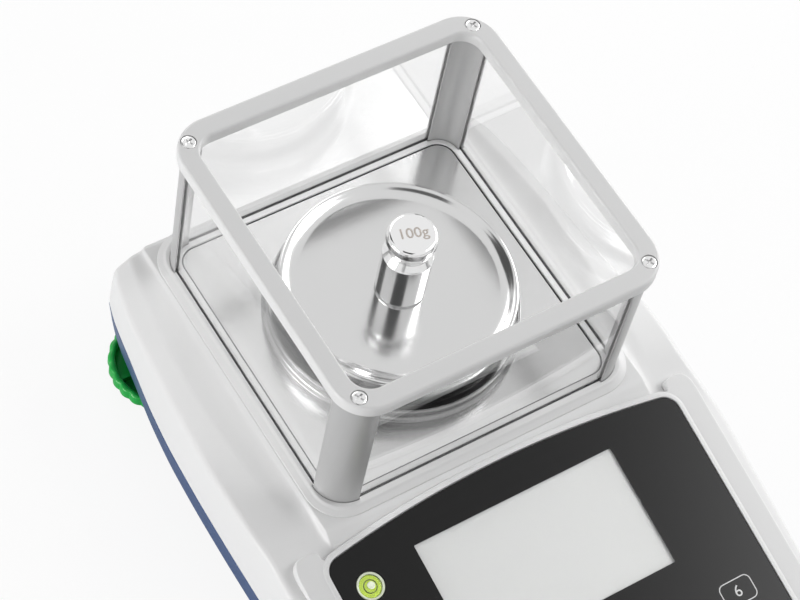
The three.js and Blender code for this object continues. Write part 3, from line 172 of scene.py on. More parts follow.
@dataclass(frozen=True)
class MouldedPlastic:
    """Injection-moulded plastic: a fine spark-eroded grain and a faint cloudiness in the colour."""

    name: str
    colour: str
    roughness: float = 0.42
    # The real grain is finer, and is drawn this coarse so that it shows
    grain_mm: float = 0.7
    relief_mm: float = 0.012
    cloud_mm: float = 38.0
    cloud_share: float = 0.015
    metallic: float = 0.0
    coat: float = 0.0
    specular: float = 0.5

    def material(self) -> bpy.types.Material:
        """Builds the material: cloudy colour, grained roughness and a low relief.

        Returns:
            The material.
        """
        material, tree = bare_material(self.name)
        place = add_node(tree, "ShaderNodeTexCoord").outputs["Object"]
        cloud = add_node(tree, "ShaderNodeTexNoise", {"Scale": cells_of(self.cloud_mm), "Detail": 2.0},
                         {"Vector": place})
        grain = add_node(tree, "ShaderNodeTexNoise", {"Scale": cells_of(self.grain_mm), "Detail": 2.0},
                         {"Vector": place})
        colour = add_node(tree, "ShaderNodeMix", {6: lighter(self.colour, -self.cloud_share),
                                                  7: lighter(self.colour, self.cloud_share)},
                          {0: cloud.outputs["Fac"]}, data_type="RGBA")
        rough = add_node(tree, "ShaderNodeMapRange", {"To Min": self.roughness * 0.9,
                                                      "To Max": self.roughness * 1.1},
                         {"Value": grain.outputs["Fac"]})
        bump = add_node(tree, "ShaderNodeBump", {"Strength": 0.25, "Distance": self.relief_mm * METRES},
                        {"Height": grain.outputs["Fac"]})
        shader = add_node(tree, "ShaderNodeBsdfPrincipled",
                          {"Metallic": self.metallic, "Coat Weight": self.coat, "Coat Roughness": 0.05,
                           "Specular IOR Level": self.specular},
                          {"Base Color": colour.outputs[2], "Roughness": rough.outputs["Result"],
                           "Normal": bump.outputs["Normal"]})
        add_node(tree, "ShaderNodeOutputMaterial", None, {"Surface": shader.outputs["BSDF"]})
        return material


@dataclass(frozen=True)
class BrushedMetal:
    """Metal drawn under an abrasive belt: long fine scratches along one direction."""

    name: str
    colour: str
    roughness: float = 0.24
    spread: float = 0.25
    # The real scratches are finer, and are drawn this coarse so that they show
    scratch_mm: float = 0.35
    stretch: float = 60.0
    relief_mm: float = 0.004
    along: Triple = (1.0, 0.0, 0.0)
    cloud_share: float = 0.03
    cloud_mm: float = 60.0

    def material(self) -> bpy.types.Material:
        """Builds the material: noise squeezed along the belt's direction drives roughness and relief.

        Returns:
            The material.
        """
        material, tree = bare_material(self.name)
        place = add_node(tree, "ShaderNodeTexCoord").outputs["Object"]
        squeeze = tuple(1 - share * (1 - 1 / self.stretch) for share in self.along)
        lines = add_node(tree, "ShaderNodeMapping", {"Scale": squeeze}, {"Vector": place})
        scratches = add_node(tree, "ShaderNodeTexNoise", {"Scale": cells_of(self.scratch_mm), "Detail": 3.0},
                             {"Vector": lines.outputs["Vector"]})
        cloud = add_node(tree, "ShaderNodeTexNoise", {"Scale": cells_of(self.cloud_mm), "Detail": 1.0},
                         {"Vector": place})
        colour = add_node(tree, "ShaderNodeMix", {6: lighter(self.colour, -self.cloud_share),
                                                  7: lighter(self.colour, self.cloud_share)},
                          {0: cloud.outputs["Fac"]}, data_type="RGBA")
        rough = add_node(tree, "ShaderNodeMapRange", {"To Min": self.roughness * (1 - self.spread),
                                                      "To Max": self.roughness * (1 + self.spread)},
                         {"Value": scratches.outputs["Fac"]})
        bump = add_node(tree, "ShaderNodeBump", {"Strength": 0.2, "Distance": self.relief_mm * METRES},
                        {"Height": scratches.outputs["Fac"]})
        shader = add_node(tree, "ShaderNodeBsdfPrincipled", {"Metallic": 1.0},
                          {"Base Color": colour.outputs[2], "Roughness": rough.outputs["Result"],
                           "Normal": bump.outputs["Normal"]})
        add_node(tree, "ShaderNodeOutputMaterial", None, {"Surface": shader.outputs["BSDF"]})
        return material


@dataclass(frozen=True)
class ClearSheet:
    """Cut and polished clear sheet: it lets light and its shadow through and greys what lies behind a little."""

    name: str
    tint: str
    ior: float = 1.45
    smear_mm: float = 55.0
    roughness: float = 0.0

    def material(self) -> bpy.types.Material:
        """Builds the material: glass for what is seen, and see-through for shadow rays.

        Returns:
            The material.
        """
        material, tree = bare_material(self.name)
        place = add_node(tree, "ShaderNodeTexCoord").outputs["Object"]
        smear = add_node(tree, "ShaderNodeTexNoise", {"Scale": cells_of(self.smear_mm), "Detail": 2.0},
                         {"Vector": place})
        colour = add_node(tree, "ShaderNodeMix", {6: linear(self.tint), 7: lighter(self.tint, 0.02)},
                          {0: smear.outputs["Fac"]}, data_type="RGBA")
        glass = add_node(tree, "ShaderNodeBsdfPrincipled",
                         {"Transmission Weight": 1.0, "IOR": self.ior, "Roughness": self.roughness},
                         {"Base Color": colour.outputs[2]})
        clear = add_node(tree, "ShaderNodeBsdfTransparent", {"Color": linear(self.tint)})
        ray = add_node(tree, "ShaderNodeLightPath")
        mix = add_node(tree, "ShaderNodeMixShader", None, {0: ray.outputs["Is Shadow Ray"],
                                                           1: glass.outputs["BSDF"], 2: clear.outputs["BSDF"]})
        add_node(tree, "ShaderNodeOutputMaterial", None, {"Surface": mix.outputs["Shader"]})
        return material


class Finishes(Enum):
    """The finishes of the balance's pieces, each named for what the real one is made of."""

    # ABS, light grey, spark-eroded mould: soft matt highlights
    HOUSING_GREY = MouldedPlastic("moulded_abs_light_grey", "dcdcdc", 0.42)
    # ABS, slate blue, the same mould texture
    HOUSING_BLUE = MouldedPlastic("moulded_abs_slate_blue", "2c4773", 0.38)
    # ABS of the shield's rim and base, silver grey and a little smoother
    SHIELD_GREY = MouldedPlastic("moulded_abs_silver_grey", "d8d8d8", 0.36, 0.5, 0.008)
    # Aluminium extrusion, bead-blasted and anodised: satin, without lines
    ANODISED = MouldedPlastic("anodised_aluminium", "bfbfbf", 0.42, 0.3, 0.004, 30.0, 0.02, 0.55)
    # Float glass, low in iron, polished edges: clear, without a green cast
    GLASS = ClearSheet("float_glass", "f8f8f8")
    # Polycarbonate film over the display and the vial: barely seen, a soft sheen
    FILM = ClearSheet("clear_film", "f2f2f2", 1.2, 55.0, 0.08)
    # Stainless steel sheet, belt-brushed and lightly polished: broad, calm reflections
    DECK_STEEL = BrushedMetal("brushed_steel_deck", "dedede", 0.2, 0.08, 0.35, 60.0, 0.0008)
    # Stainless steel dish, pressed and polished: a soft mirror
    PAN_STEEL = BrushedMetal("satin_steel_pan", "d2d2d2", 0.14, 0.1, 0.4, 30.0, 0.0008, (0.0, 1.0, 0.0))
    # Stainless steel strip, rolled to a ring: its base colour is darkened as painted shade next to the pan; its
    # bright edges come from its beads
    RING_STEEL = BrushedMetal("steel_ring_painted_shade", "a9a9a9", 0.22, 0.3, 0.5, 30.0, 0.002, (0.0, 0.0, 1.0))
    # Chrome plate over turned brass: mirror bright
    CHROME = BrushedMetal("turned_chrome", "e8e8e8", 0.09, 0.4, 0.4, 40.0, 0.001, (1.0, 1.0, 0.0), 0.01)
    # Nickel plate on steel screws and studs: bright and slightly blurred
    SCREW_STEEL = BrushedMetal("nickel_plated_steel", "dedede", 0.22, 0.3, 0.3, 20.0)
    # Aluminium, cast and milled: dull grey
    CAST_METAL = BrushedMetal("machined_aluminium", "9a9ca0", 0.4, 0.3, 0.8, 10.0, 0.01)
    # Polyester film panel printed black from behind, slightly hazy
    PANEL_BLACK = MouldedPlastic("printed_panel_black", "121212", 0.22, 0.6, 0.001, 45.0, 0.06, specular=0.2)
    # Screen-printing ink: flat white lines
    PANEL_PRINT = MouldedPlastic("screen_print_white", "d9d9d9", 0.5, 0.4, 0.001)
    # Frosted by a laser: a matt, warm grey on the bright knob
    LASER_MARK = MouldedPlastic("laser_mark", "bdb5ad", 0.6, 0.25, 0.01, 4.0, 0.08)
    # Reflective display cell behind glass, switched off: an even pale grey
    LCD_CELL = MouldedPlastic("lcd_cell_off", "c8c9c8", 0.45, 0.45, 0.0002, 60.0, 0.01)
    # Dyed spirit: a wet yellow green under a coat of gloss
    VIAL_FLUID = MouldedPlastic("level_fluid", "b9d43a", 0.1, 2.0, 0.001, 3.0, 0.1, 0.0, 0.8)
    # White polystyrene cup, its colour tinted green as painted light from the fluid; the bubble wears the same
    # painted tint
    VIAL_CUP = MouldedPlastic("vial_cup_painted_green_light", "dfe6cf", 0.35)
    # The printed ring that the bubble stands in: dark green
    VIAL_LINE = MouldedPlastic("vial_ring_print", "39471c", 0.5)
    # Polypropylene hand wheels, coloured through and glossy
    FOOT_GREEN = MouldedPlastic("moulded_pp_green", "08a63f", 0.3, 0.8, 0.008, 12.0, 0.05)
    # Nitrile rubber pads: near black, no shine; the same dark finish paints shade in the glass's groove and the gap
    # round the steel plate
    RUBBER = MouldedPlastic("black_rubber", "26272a", 0.8, 0.5, 0.03, 6.0, 0.1)
    # Glass-fibre board under solder resist: green with a thin gloss
    CIRCUIT = MouldedPlastic("fibreglass_board", "1f6b3f", 0.45, 0.4, 0.01, 5.0, 0.15, 0.0, 0.4)
    # Glass-filled nylon: matt black
    DARK_PLASTIC = MouldedPlastic("moulded_nylon_black", "2b2c2e", 0.5)
    # PVC sheath: plain grey
    CORD_GREY = MouldedPlastic("pvc_cord_grey", "8c8f93", 0.5, 0.6)
    # Gold flash on the contact pins: a warm glint
    PIN_GOLD = BrushedMetal("gold_plated_pin", "d8b56a", 0.2)


_made: dict[str, bpy.types.Material] = {}


def material_of(finish: Finishes) -> bpy.types.Material:
    """Gives a finish's material, and builds it the first time.

    Args:
        finish: the finish.

    Returns:
        Its one material.
    """
    if finish.name not in _made:
        _made[finish.name] = finish.value.material()
    return _made[finish.name]


# Surfaces


@dataclass
class Surface:
    """Points in millimetres and the faces between them."""

    points: Array
    faces: list[tuple[int, ...]]

    def __add__(self, other: "Surface") -> "Surface":
        """Puts two surfaces into one, side by side.

        Args:
            other: the second surface.

        Returns:
            Both; the second's faces count on from the first's points.
        """
        start = len(self.points)
        moved = [tuple(corner + start for corner in face) for face in other.faces]
        return Surface(np.concatenate([self.points, other.points]), self.faces + moved)

    def moved(self, x: float = 0.0, y: float = 0.0, z: float = 0.0) -> "Surface":
        """Gives the surface shifted by x, y and z."""
        return Surface(self.points + np.array([x, y, z]), self.faces)

    def turned_about_z(self, degrees: float) -> "Surface":
        """Gives the surface turned about the Z axis.

        Args:
            degrees: the turn, anticlockwise seen from above.

        Returns:
            The surface with x cos a - y sin a and x sin a + y cos a.
        """
        angle = math.radians(degrees)
        turn = np.array([[math.cos(angle), -math.sin(angle), 0], [math.sin(angle), math.cos(angle), 0], [0, 0, 1]])
        return Surface(self.points @ turn.T, self.faces)

    def mirrored(self, sign_x: float, sign_y: float) -> "Surface":
        """Gives the surface with X and Y multiplied by the signs."""
        return Surface(self.points * np.array([sign_x, sign_y, 1.0]), self.faces)

    def lying_back(self) -> "Surface":
        """Gives the surface turned so that its Z axis points to the rear, along Y."""
        x, y, z = self.points.T
        return Surface(np.stack([x, z, -y], axis=1), self.faces)


def together(surfaces: Sequence[Surface]) -> Surface:
    """Puts several surfaces into one.

    Args:
        surfaces: the surfaces, one or more.

    Returns:
        All of them, side by side.
    """
    total = surfaces[0]
    for surface in surfaces[1:]:
        total = total + surface
    return total


def soften(corners: Array, reach: Sequence[float] | float, steps: int = 5, closed: bool = False) -> Array:
    """Rounds the corners of a path, in any number of dimensions and for many paths at once.

    Each corner P, between neighbours A and B, gives way to the parabola
    (1-t)^2 S + 2t(1-t) P + t^2 E, where S and E lie on PA and PB, a reach away from P but
    never past the middle of a side.

    Args:
        corners: corners along the first axis, coordinates along the last.
        reach: how far each corner's curve reaches along its sides; 0 keeps the corner sharp.
        steps: pieces in each corner's curve.
        closed: whether the last corner joins the first; an open path keeps its two ends.

    Returns:
        The points of the softened path along the first axis.
    """
    corners = np.asarray(corners, float)
    count = len(corners)
    lengths = np.broadcast_to(np.asarray(reach, float), (count,)).copy()
    if not closed:
        lengths[[0, -1]] = 0
    lengths = lengths.reshape((count,) + (1,) * (corners.ndim - 1))
    before = np.roll(corners, 1, axis=0)
    after = np.roll(corners, -1, axis=0)
    starts, ends = (corners + (near - corners) * np.minimum(
        lengths / np.maximum(np.linalg.norm(near - corners, axis=-1, keepdims=True), TINY), 0.5)
        for near in (before, after))
    t = np.linspace(0, 1, steps + 1).reshape((1, -1) + (1,) * (corners.ndim - 1))
    curve = (1 - t) ** 2 * starts[:, None] + 2 * t * (1 - t) * corners[:, None] + t ** 2 * ends[:, None]
    return curve.reshape((-1,) + corners.shape[1:])


def grid(points: Array, ring_rows: bool = False, ring_columns: bool = False) -> Surface:
    """Joins a grid of points by quads.

    Args:
        points: rows by columns by 3.
        ring_rows: whether the last row joins the first.
        ring_columns: whether the last column joins the first.

    Returns:
        The surface. Point (i, j) is number i times columns plus j.
    """
    rows, columns = points.shape[:2]
    i, j = np.meshgrid(np.arange(rows if ring_rows else rows - 1),
                       np.arange(columns if ring_columns else columns - 1), indexing="ij")
    i, j = i.ravel(), j.ravel()
    below, beside = (i + 1) % rows, (j + 1) % columns
    quads = np.stack([i * columns + j, i * columns + beside, below * columns + beside, below * columns + j], axis=1)
    return Surface(points.reshape(-1, 3), [tuple(quad) for quad in quads.tolist()])


def square(half: float) -> Surface:
    """Makes a flat square round the middle."""
    return grid(np.array([[[-half, -half, 0.0], [half, -half, 0.0]], [[-half, half, 0.0], [half, half, 0.0]]]))


def round_axis(reach: Array, height: Array, angle: Array) -> Array:
    """Puts points round the Z axis: x = r cos a, y = r sin a, z = h."""
    x = reach * np.cos(angle)
    return np.stack([x, reach * np.sin(angle), np.broadcast_to(height, x.shape)], axis=-1)


def arc_points(turn: Array, radius: float) -> Array:
    """Gives points on a circle round the middle: radius times (cos a, sin a)."""
    return np.stack([np.cos(turn), np.sin(turn)], axis=-1) * radius


def turned(profile: Array, steps: int = 96, closed: bool = False) -> Surface:
    """Turns a profile about the Z axis.

    Args:
        profile: pairs of radius and height.
        steps: pieces round the axis.
        closed: whether the profile's last point joins its first.

    Returns:
        The surface x = r cos a, y = r sin a, z = h.
    """
    angle = np.linspace(0, 2 * math.pi, steps, endpoint=False)
    path = np.asarray(profile, float)
    return grid(round_axis(path[:, :1], path[:, 1:], angle), ring_rows=closed, ring_columns=True)


def round_rectangle(half_x: float, half_y: float, radius: float, steps: int = 14) -> Array:
    """Gives a rectangle's outline with round corners.

    Args:
        half_x: half its width.
        half_y: half its length.
        radius: the corners' radius.
        steps: pieces in each corner.

    Returns:
        Points anticlockwise from the right side: corner centre plus radius times (cos a, sin a).
    """
    angle = np.linspace(0, math.pi / 2, steps + 1)
    angles = (angle[None, :] + np.arange(4)[:, None] * math.pi / 2)
    centres = np.array([[1, 1], [-1, 1], [-1, -1], [1, -1]]) * np.array([half_x - radius, half_y - radius])
    return (centres[:, None] + arc_points(angles, radius)).reshape(-1, 2)


def framed(levels: Array, steps: int = 14) -> Surface:
    """Runs a closed section round a rectangle with round corners.

    Args:
        levels: rows of half width, half length, corner radius and height along the section.
        steps: pieces in each corner.

    Returns:
        The swept surface.
    """
    loops = [np.column_stack([round_rectangle(x, y, radius, steps), np.full(4 * (steps + 1), z)])
             for x, y, radius, z in levels]
    return grid(np.stack(loops), ring_rows=True, ring_columns=True)


def capped(surface: Surface, columns: int, rows: int) -> Surface:
    """Closes a tube's first and last rows with one face each.

    Args:
        surface: a tube made by grid.
        columns: points in each of its rings.
        rows: its number of rings.

    Returns:
        The closed surface.
    """
    first = tuple(range(columns))[::-1]
    last = tuple(range((rows - 1) * columns, rows * columns))
    return Surface(surface.points, surface.faces + [first, last])


def prism(outline: Array, from_z: float, to_z: float, edge: float = 0.0, steps: int = 4) -> Surface:
    """Raises an outline, with its two rims rounded inwards.

    Args:
        outline: points of the outline, anticlockwise.
        from_z: the height of the underside.
        to_z: the height of the top.
        edge: how far the rounding of the rims reaches.
        steps: pieces in each rounding.

    Returns:
        The closed surface.
    """
    section = [[-edge, from_z], [0.0, from_z], [0.0, to_z], [-edge, to_z]] if edge else [[0.0, from_z], [0.0, to_z]]
    path = soften(section, edge, steps) if edge else np.array(section)
    rows = carried(distinct(outline), path)
    return capped(grid(rows, ring_columns=True), rows.shape[1], rows.shape[0])


def distinct(outline: Array) -> Array:
    """Drops each point of a closed outline that repeats the one before it."""
    step = np.linalg.norm(outline - np.roll(outline, 1, axis=0), axis=1)
    return outline[step > SAME_PLACE]


def outward(outline: Array) -> Array:
    """Gives the outward direction at each point of a closed anticlockwise outline.

    Args:
        outline: the outline's points.

    Returns:
        For each point (dy, -dx), made one long, where (dx, dy) runs from the point before to the one after.
    """
    along = np.roll(outline, -1, axis=0) - np.roll(outline, 1, axis=0)
    normal = np.stack([along[:, 1], -along[:, 0]], axis=1)
    return normal / np.maximum(np.linalg.norm(normal, axis=1, keepdims=True), TINY)


def carried(outline: Array, section: Array) -> Array:
    """Carries a section round an outline: each point moves out by u along the outline's normal, to height z.

    Args:
        outline: n points, anticlockwise.
        section: m pairs of u and z.

    Returns:
        A grid of m by n by 3 points.
    """
    return raised(outline[None] + section[:, None, :1] * outward(outline)[None], section[:, 1:])


def raised(flat: Array, heights: Array) -> Array:
    """Gives each row of flat points its own height, from a column of heights."""
    return np.concatenate([flat, np.broadcast_to(heights[:, None], flat.shape[:2] + (1,))], axis=-1)


def at_corners(surface: Surface, x: float, y: float) -> list[Surface]:
    """Gives the surface at the four corners that lie x and y from the middle."""
    return [surface.moved(sign_x * x, sign_y * y) for sign_x in (-1, 1) for sign_y in (-1, 1)]


def drill(radius: float, from_z: float, to_z: float, steps: int = 48) -> Surface:
    """Makes a plain round cutter between two heights."""
    return turned([[0, from_z], [radius, from_z], [radius, to_z], [0, to_z]], steps)


def slab(x: Sequence[float], y: Sequence[float], z: Sequence[float], edge: float = 0.3) -> Surface:
    """Makes a block with soft edges.

    Args:
        x: its two sides.
        y: its front and back.
        z: its underside and top.
        edge: the radius of its upright edges; the level ones are a little tighter.

    Returns:
        The closed surface.
    """
    middle = np.array([sum(x) / 2, sum(y) / 2])
    half = np.array([x[1] - x[0], y[1] - y[0]]) / 2
    outline = round_rectangle(half[0], half[1], min(edge, half.min() * 0.9), 3) + middle
    return prism(outline, z[0], z[1], edge * 0.8, 2)


# Pieces


def mesh_of(name: str, surface: Surface) -> bpy.types.Mesh:
    """Makes a mesh in metres from a surface, its faces outward and its doubled points merged.

    Args:
        name: the mesh's name.
        surface: the surface in millimetres.

    Returns:
        The mesh.
    """
    mesh = bpy.data.meshes.new(name)
    mesh.from_pydata((surface.points * METRES).tolist(), [], surface.faces)
    work = bmesh.new()
    work.from_mesh(mesh)
    bmesh.ops.remove_doubles(work, verts=work.verts, dist=WELD)
    bmesh.ops.dissolve_degenerate(work, edges=work.edges, dist=SLIVER)
    bmesh.ops.recalc_face_normals(work, faces=work.faces)
    work.to_mesh(mesh)
    work.free()
    return mesh


def add_object(name: str, data: bpy.types.ID) -> Object:
    """Puts a new object with its data into the scene.

    Args:
        name: the object's name.
        data: its mesh, curve, lamp or camera.

    Returns:
        The object.
    """
    made = bpy.data.objects.new(name, data)
    bpy.context.scene.collection.objects.link(made)
    return made


def loose(name: str, surface: Surface) -> Object:
    """Puts a surface into the scene as an object that isn't a piece yet."""
    return add_object(name, mesh_of(name, surface))


def settle(made: Object) -> None:
    """Works an object's modifiers into its mesh.

    Args:
        made: the object, whose mesh changes.
    """
    graph = bpy.context.evaluated_depsgraph_get()
    graph.update()
    mesh = bpy.data.meshes.new_from_object(made.evaluated_get(graph))
    made.modifiers.clear()
    old = made.data
    made.data = mesh
    bpy.data.meshes.remove(old)


def cut(made: Object, cutter: Surface) -> None:
    """Takes a closed surface's inside away from an object.

    Args:
        made: the object, whose mesh changes.
        cutter: the closed surface.
    """
    tool = loose("cutter", cutter)
    boolean = made.modifiers.new("cut", "BOOLEAN")
    boolean.object = tool
    boolean.operation = "DIFFERENCE"
    boolean.solver = "EXACT"
    settle(made)
    bpy.data.objects.remove(tool)


def coat(made: Object, finish: Finishes) -> None:
    """Gives an object one finish all over."""
    made.data.materials.clear()
    made.data.materials.append(material_of(finish))


def present(made: Object, finish: Finishes, body: str, replaces: Sequence[str] = ()) -> None:
    """Dresses an object and lets it ride on its body.

    Args:
        made: the finished object.
        finish: its finish.
        body: the body that it moves with.
        replaces: the nodes that it stands for.
    """
    coat(made, finish)
    made.data.shade_smooth()
    made.data.set_sharp_from_angle(angle=math.radians(SHARP_DEGREES))
    weighted = made.modifiers.new("weighted", "WEIGHTED_NORMAL")
    weighted.keep_sharp = True
    weighted.weight = NORMAL_WEIGHT
    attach(made, body)
    if replaces:
        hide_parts(*replaces)
    log.info("%s rides on %s, %d faces", made.name, body, len(made.data.polygons))


def piece(name: str, surface: Surface, finish: Finishes, body: str,
          replaces: Sequence[str] = ()) -> None:
    """Makes a piece straight from a surface, with the arguments of present.

    Args:
        name: the piece's name.
        surface: its surface in millimetres.
        finish: its finish.
        body: the body that it moves with.
        replaces: the nodes that it stands for.
    """
    present(loose(name, surface), finish, body, replaces)


def dress(frame: dict, names: Sequence[str], finish: Finishes) -> None:
    """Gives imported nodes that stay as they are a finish.

    Args:
        frame: the loaded frame.
        names: the nodes.
        finish: their finish.
    """
    for name in names:
        coat(frame["nodes"][name], finish)
        log.info("%s keeps its shape, finish %s", name, finish.name)


# Layout


@dataclass(frozen=True)
class Layout:
    """Where the sub-assemblies stand."""

    half_length: float = 142.0
    half_width: float = 109.0
    seam_z: float = 39.0
    floor_z: float = 17.0
    plate_z: float = 71.997
    shield_y: float = 64.0
    window_y: float = -34.175
    window_z: float = 65.927
    tilt_degrees: float = 12.4
    # The well behind the window and the vial's hole, in the display's own plane
    well_half: Pair = (52.55, 30.75)
    well_y: float = -27.45
    vial: Pair = (-73.8, -6.9)
    vial_hole: float = 6.5

    def on_shield(self, surface: Surface) -> Surface:
        """Puts a surface drawn round the shield's middle, with 0 on the steel plate, in its place."""
        return surface.moved(0.0, self.shield_y, self.plate_z)

    def on_display(self, surface: Surface) -> Surface:
        """Puts a surface drawn in the display's own plane, with 0 on the panel, in its place.

        Args:
            surface: the surface as drawn.

        Returns:
            The surface turned about X by the display's tilt, then moved to the window's upper edge.
        """
        angle = math.radians(self.tilt_degrees)
        x, y, z = surface.points.T
        turned_y = y * math.cos(angle) - z * math.sin(angle)
        turned_z = y * math.sin(angle) + z * math.cos(angle)
        points = np.stack([x, turned_y + self.window_y, turned_z + self.window_z], axis=1)
        return Surface(points, surface.faces)

    def window_cutter(self, depth: float) -> Surface:
        """Makes the cutter of the window's well and the vial's hole, drawn in the display's plane."""
        well = prism(round_rectangle(*self.well_half, 1.0, 3) + np.array([0, self.well_y]), -depth, 4)
        return well + drill(self.vial_hole, -16, 4).moved(*self.vial)

    def display_height(self, y: Array) -> Array:
        """Gives the height of the display's plane at a place along the body."""
        return self.window_z + (y - self.window_y) * math.tan(math.radians(self.tilt_degrees))


LAYOUT = Layout()
CORNERS = (("fl", -1, -1), ("fr", 1, -1), ("bl", -1, 1), ("br", 1, 1))


# Housing


def through(places: Array, values: Array, at: Array) -> Array:
    """Reads a smooth curve through rows of values.

    Each stretch is the cubic with given slopes at its ends. A slope is the harmonic mean of the
    two neighbouring stretches' slopes, or 0 where they have different signs, so the curve never
    runs past its rows.

    Args:
        places: where the rows stand, rising.
        values: rows by fields.
        at: where to read.

    Returns:
        Values at each place asked for, places by fields.
    """
    gaps = np.diff(places)[:, None]
    steps = np.diff(values, axis=0) / gaps
    product = steps[1:] * steps[:-1]
    total = np.where(product > 0, steps[1:] + steps[:-1], 1.0)
    inner = np.where(product > 0, 2 * product / total, 0.0)
    slopes = np.concatenate([steps[:1], inner, steps[-1:]])
    start = np.clip(np.searchsorted(places, at, side="right") - 1, 0, len(places) - 2)
    width = gaps[start]
    t = ((at - places[start]) / gaps[start, 0])[:, None]
    low, high = values[start], values[start + 1]
    leave, arrive = slopes[start] * width, slopes[start + 1] * width
    return (low + t * (leave + t * (3 * (high - low) - 2 * leave - arrive
                                    + t * (2 * (low - high) + leave + arrive))))


@dataclass
class Housing:
    """Upper and lower housing: one body whose section changes along its length."""

    deck_half: float = 79.3
    deck_run: float = 155.2
    deck_drop: float = 2.0
    shoulder_below_panel: float = 3.4
    wall: float = 2.3
    wall_fade: float = 6.0
    rear_round: float = 3.0
    nose_round: float = 2.0
    seam_chamfer: float = 0.45
    bulge_share: float = 0.34
    # Where the slope inside the ridge bends, as shares of its run and its drop
    hip: Pair = (0.26, 0.84)
    # How far each corner of the section is rounded, from the seam to the middle
    section_reach: tuple[float, ...] = (0, 0.3, 8, 2.6, 1.4, 26, 0.6, 0)
    rows: int = 120
    lower_draft: float = 2.0
    lower_edge: float = 4.5
    lower_slope: float = 3.4
    seam_gap: float = 0.15
    stud_hole: float = 4.4
    screw_hole: float = 3.5
    column_hole: float = 16.0
    serial_hole: tuple[Pair, ...] = ((-58.3, -39.7), (136, 146), (45.05, 54.65))
    jack_hole: float = 4.5
    jack: Pair = (-78.0, 49.1)
    pad_half: Pair = (66.5, 64.3)
    pad_corner: float = 7.0
    pad_z: Pair = (-3.4, -1.2)
    feet: Pair = (78.6, 117.5)
    screws: tuple[Pair, ...] = ((-84.0, -70.0), (84.0, -70.0), (-84.0, 58.0), (84.0, 58.0))
    # Along the body, then shares across from the deck's edge to the widest place, and shares down:
    # along, seam, shoulder, shoulder's drop, ridge, ridge's drop, ground's fall
    deck_rows: tuple[tuple[float, ...], ...] = (
        (0.0, 0.505, 0.458, 0.32, 0.199, 0.15, 0.0),
        (0.084, 0.63, 0.599, 0.29, 0.306, 0.142, 0.0),
        (0.213, 0.741, 0.707, 0.3, 0.411, 0.151, 0.0),
        (0.393, 0.886, 0.785, 0.303, 0.505, 0.155, 0.0),
        (0.535, 0.953, 0.832, 0.3, 0.508, 0.158, 0.0),
        (0.728, 0.99, 0.892, 0.267, 0.438, 0.152, 0.0),
        (0.889, 1.0, 0.886, 0.235, 0.35, 0.155, 0.0),
        (1.0, 1.0, 0.852, 0.232, 0.219, 0.194, 0.0),
    )
    front_rows: tuple[tuple[float, ...], ...] = (
        (0.02, 1.0, 0.852, 1.74, 0.22, 1.35, 0.38),
        (0.068, 1.0, 0.862, 1.5, 0.24, 1.06, 0.76),
        (0.177, 0.995, 0.87, 1.0, 0.6, 0.41, 0.41),
        (0.41, 0.966, 0.865, 1.0, 0.6, 0.4, 0.4),
        (0.682, 0.9, 0.83, 1.0, 0.58, 0.36, 0.36),
        (0.876, 0.81, 0.75, 0.95, 0.5, 0.35, 0.35),
        (0.969, 0.63, 0.58, 0.8, 0.37, 0.35, 0.35),
        (1.0, 0.3, 0.27, 0.6, 0.09, 0.35, 0.35),
    )

    def sizes(self) -> tuple[Array, Array]:
        """Turns the shares into sizes.

        Returns:
            Places from the rear wall forwards, and rows of seam, shoulder, shoulder height, ridge,
            ridge height and ground height.
        """
        flank = LAYOUT.half_width - self.deck_half
        length = 2 * LAYOUT.half_length
        upper = LAYOUT.plate_z - LAYOUT.seam_z
        deck = np.array(self.deck_rows)
        front = np.array(self.front_rows)
        runs = np.concatenate([deck[:, 0] * self.deck_run, self.deck_run + front[:, 0] * (length - self.deck_run)])
        plane = LAYOUT.display_height(LAYOUT.half_length - runs[len(deck):])
        tops = np.concatenate([np.full(len(deck), LAYOUT.plate_z), plane])
        grounds = np.concatenate([np.full(len(deck), LAYOUT.plate_z - self.deck_drop), plane])
        heights = np.concatenate([np.full(len(deck), upper), np.full(len(front), self.shoulder_below_panel)])
        shares = np.concatenate([deck, front])
        across = self.deck_half + shares[:, [1, 2, 4]] * flank
        down = tops[:, None] - shares[:, [3, 5]] * heights[:, None]
        ground = grounds - shares[:, 6] * heights
        fields = np.stack([across[:, 0], across[:, 1], down[:, 0], across[:, 2], down[:, 1], ground], axis=1)
        return runs, fields

    def runs(self) -> Array:
        """Gives the places along the body, close together where the ends turn round.

        Returns:
            Distances from the rear wall, rising; near an end they are R (1 - cos a).
        """
        length = 2 * LAYOUT.half_length
        turn = np.linspace(0, math.pi / 2, 7)
        rear = self.rear_round * (1 - np.cos(turn))
        nose = length - self.nose_round * (1 - np.cos(turn))
        middle = np.linspace(self.rear_round, length - self.nose_round, self.rows)
        return np.unique(np.round(np.concatenate([rear, middle, nose]), 4))

    def end_drop(self, runs: Array) -> Array:
        """Gives how far the body draws in near its ends: R minus the root of R^2 minus (R - d)^2.

        Args:
            runs: distances d from the rear wall.

        Returns:
            The draw at each place, 0 away from the ends.
        """
        rear = np.clip(self.rear_round - runs, 0, self.rear_round)
        nose = np.clip(self.nose_round - (2 * LAYOUT.half_length - runs), 0, self.nose_round)
        return (self.rear_round - np.sqrt(self.rear_round ** 2 - rear ** 2)
                + self.nose_round - np.sqrt(self.nose_round ** 2 - nose ** 2))

    def plan(self) -> Array:
        """Gives the seam's outline in plan, anticlockwise.

        Returns:
            Points up the right side, then down the left.
        """
        runs = self.runs()
        places, fields = self.sizes()
        half = through(places, fields, runs)[:, 0] - self.end_drop(runs)
        y = LAYOUT.half_length - runs
        right = np.stack([half, y], axis=1)[::-1]
        left = np.stack([-half, y], axis=1)
        return np.concatenate([right, left])

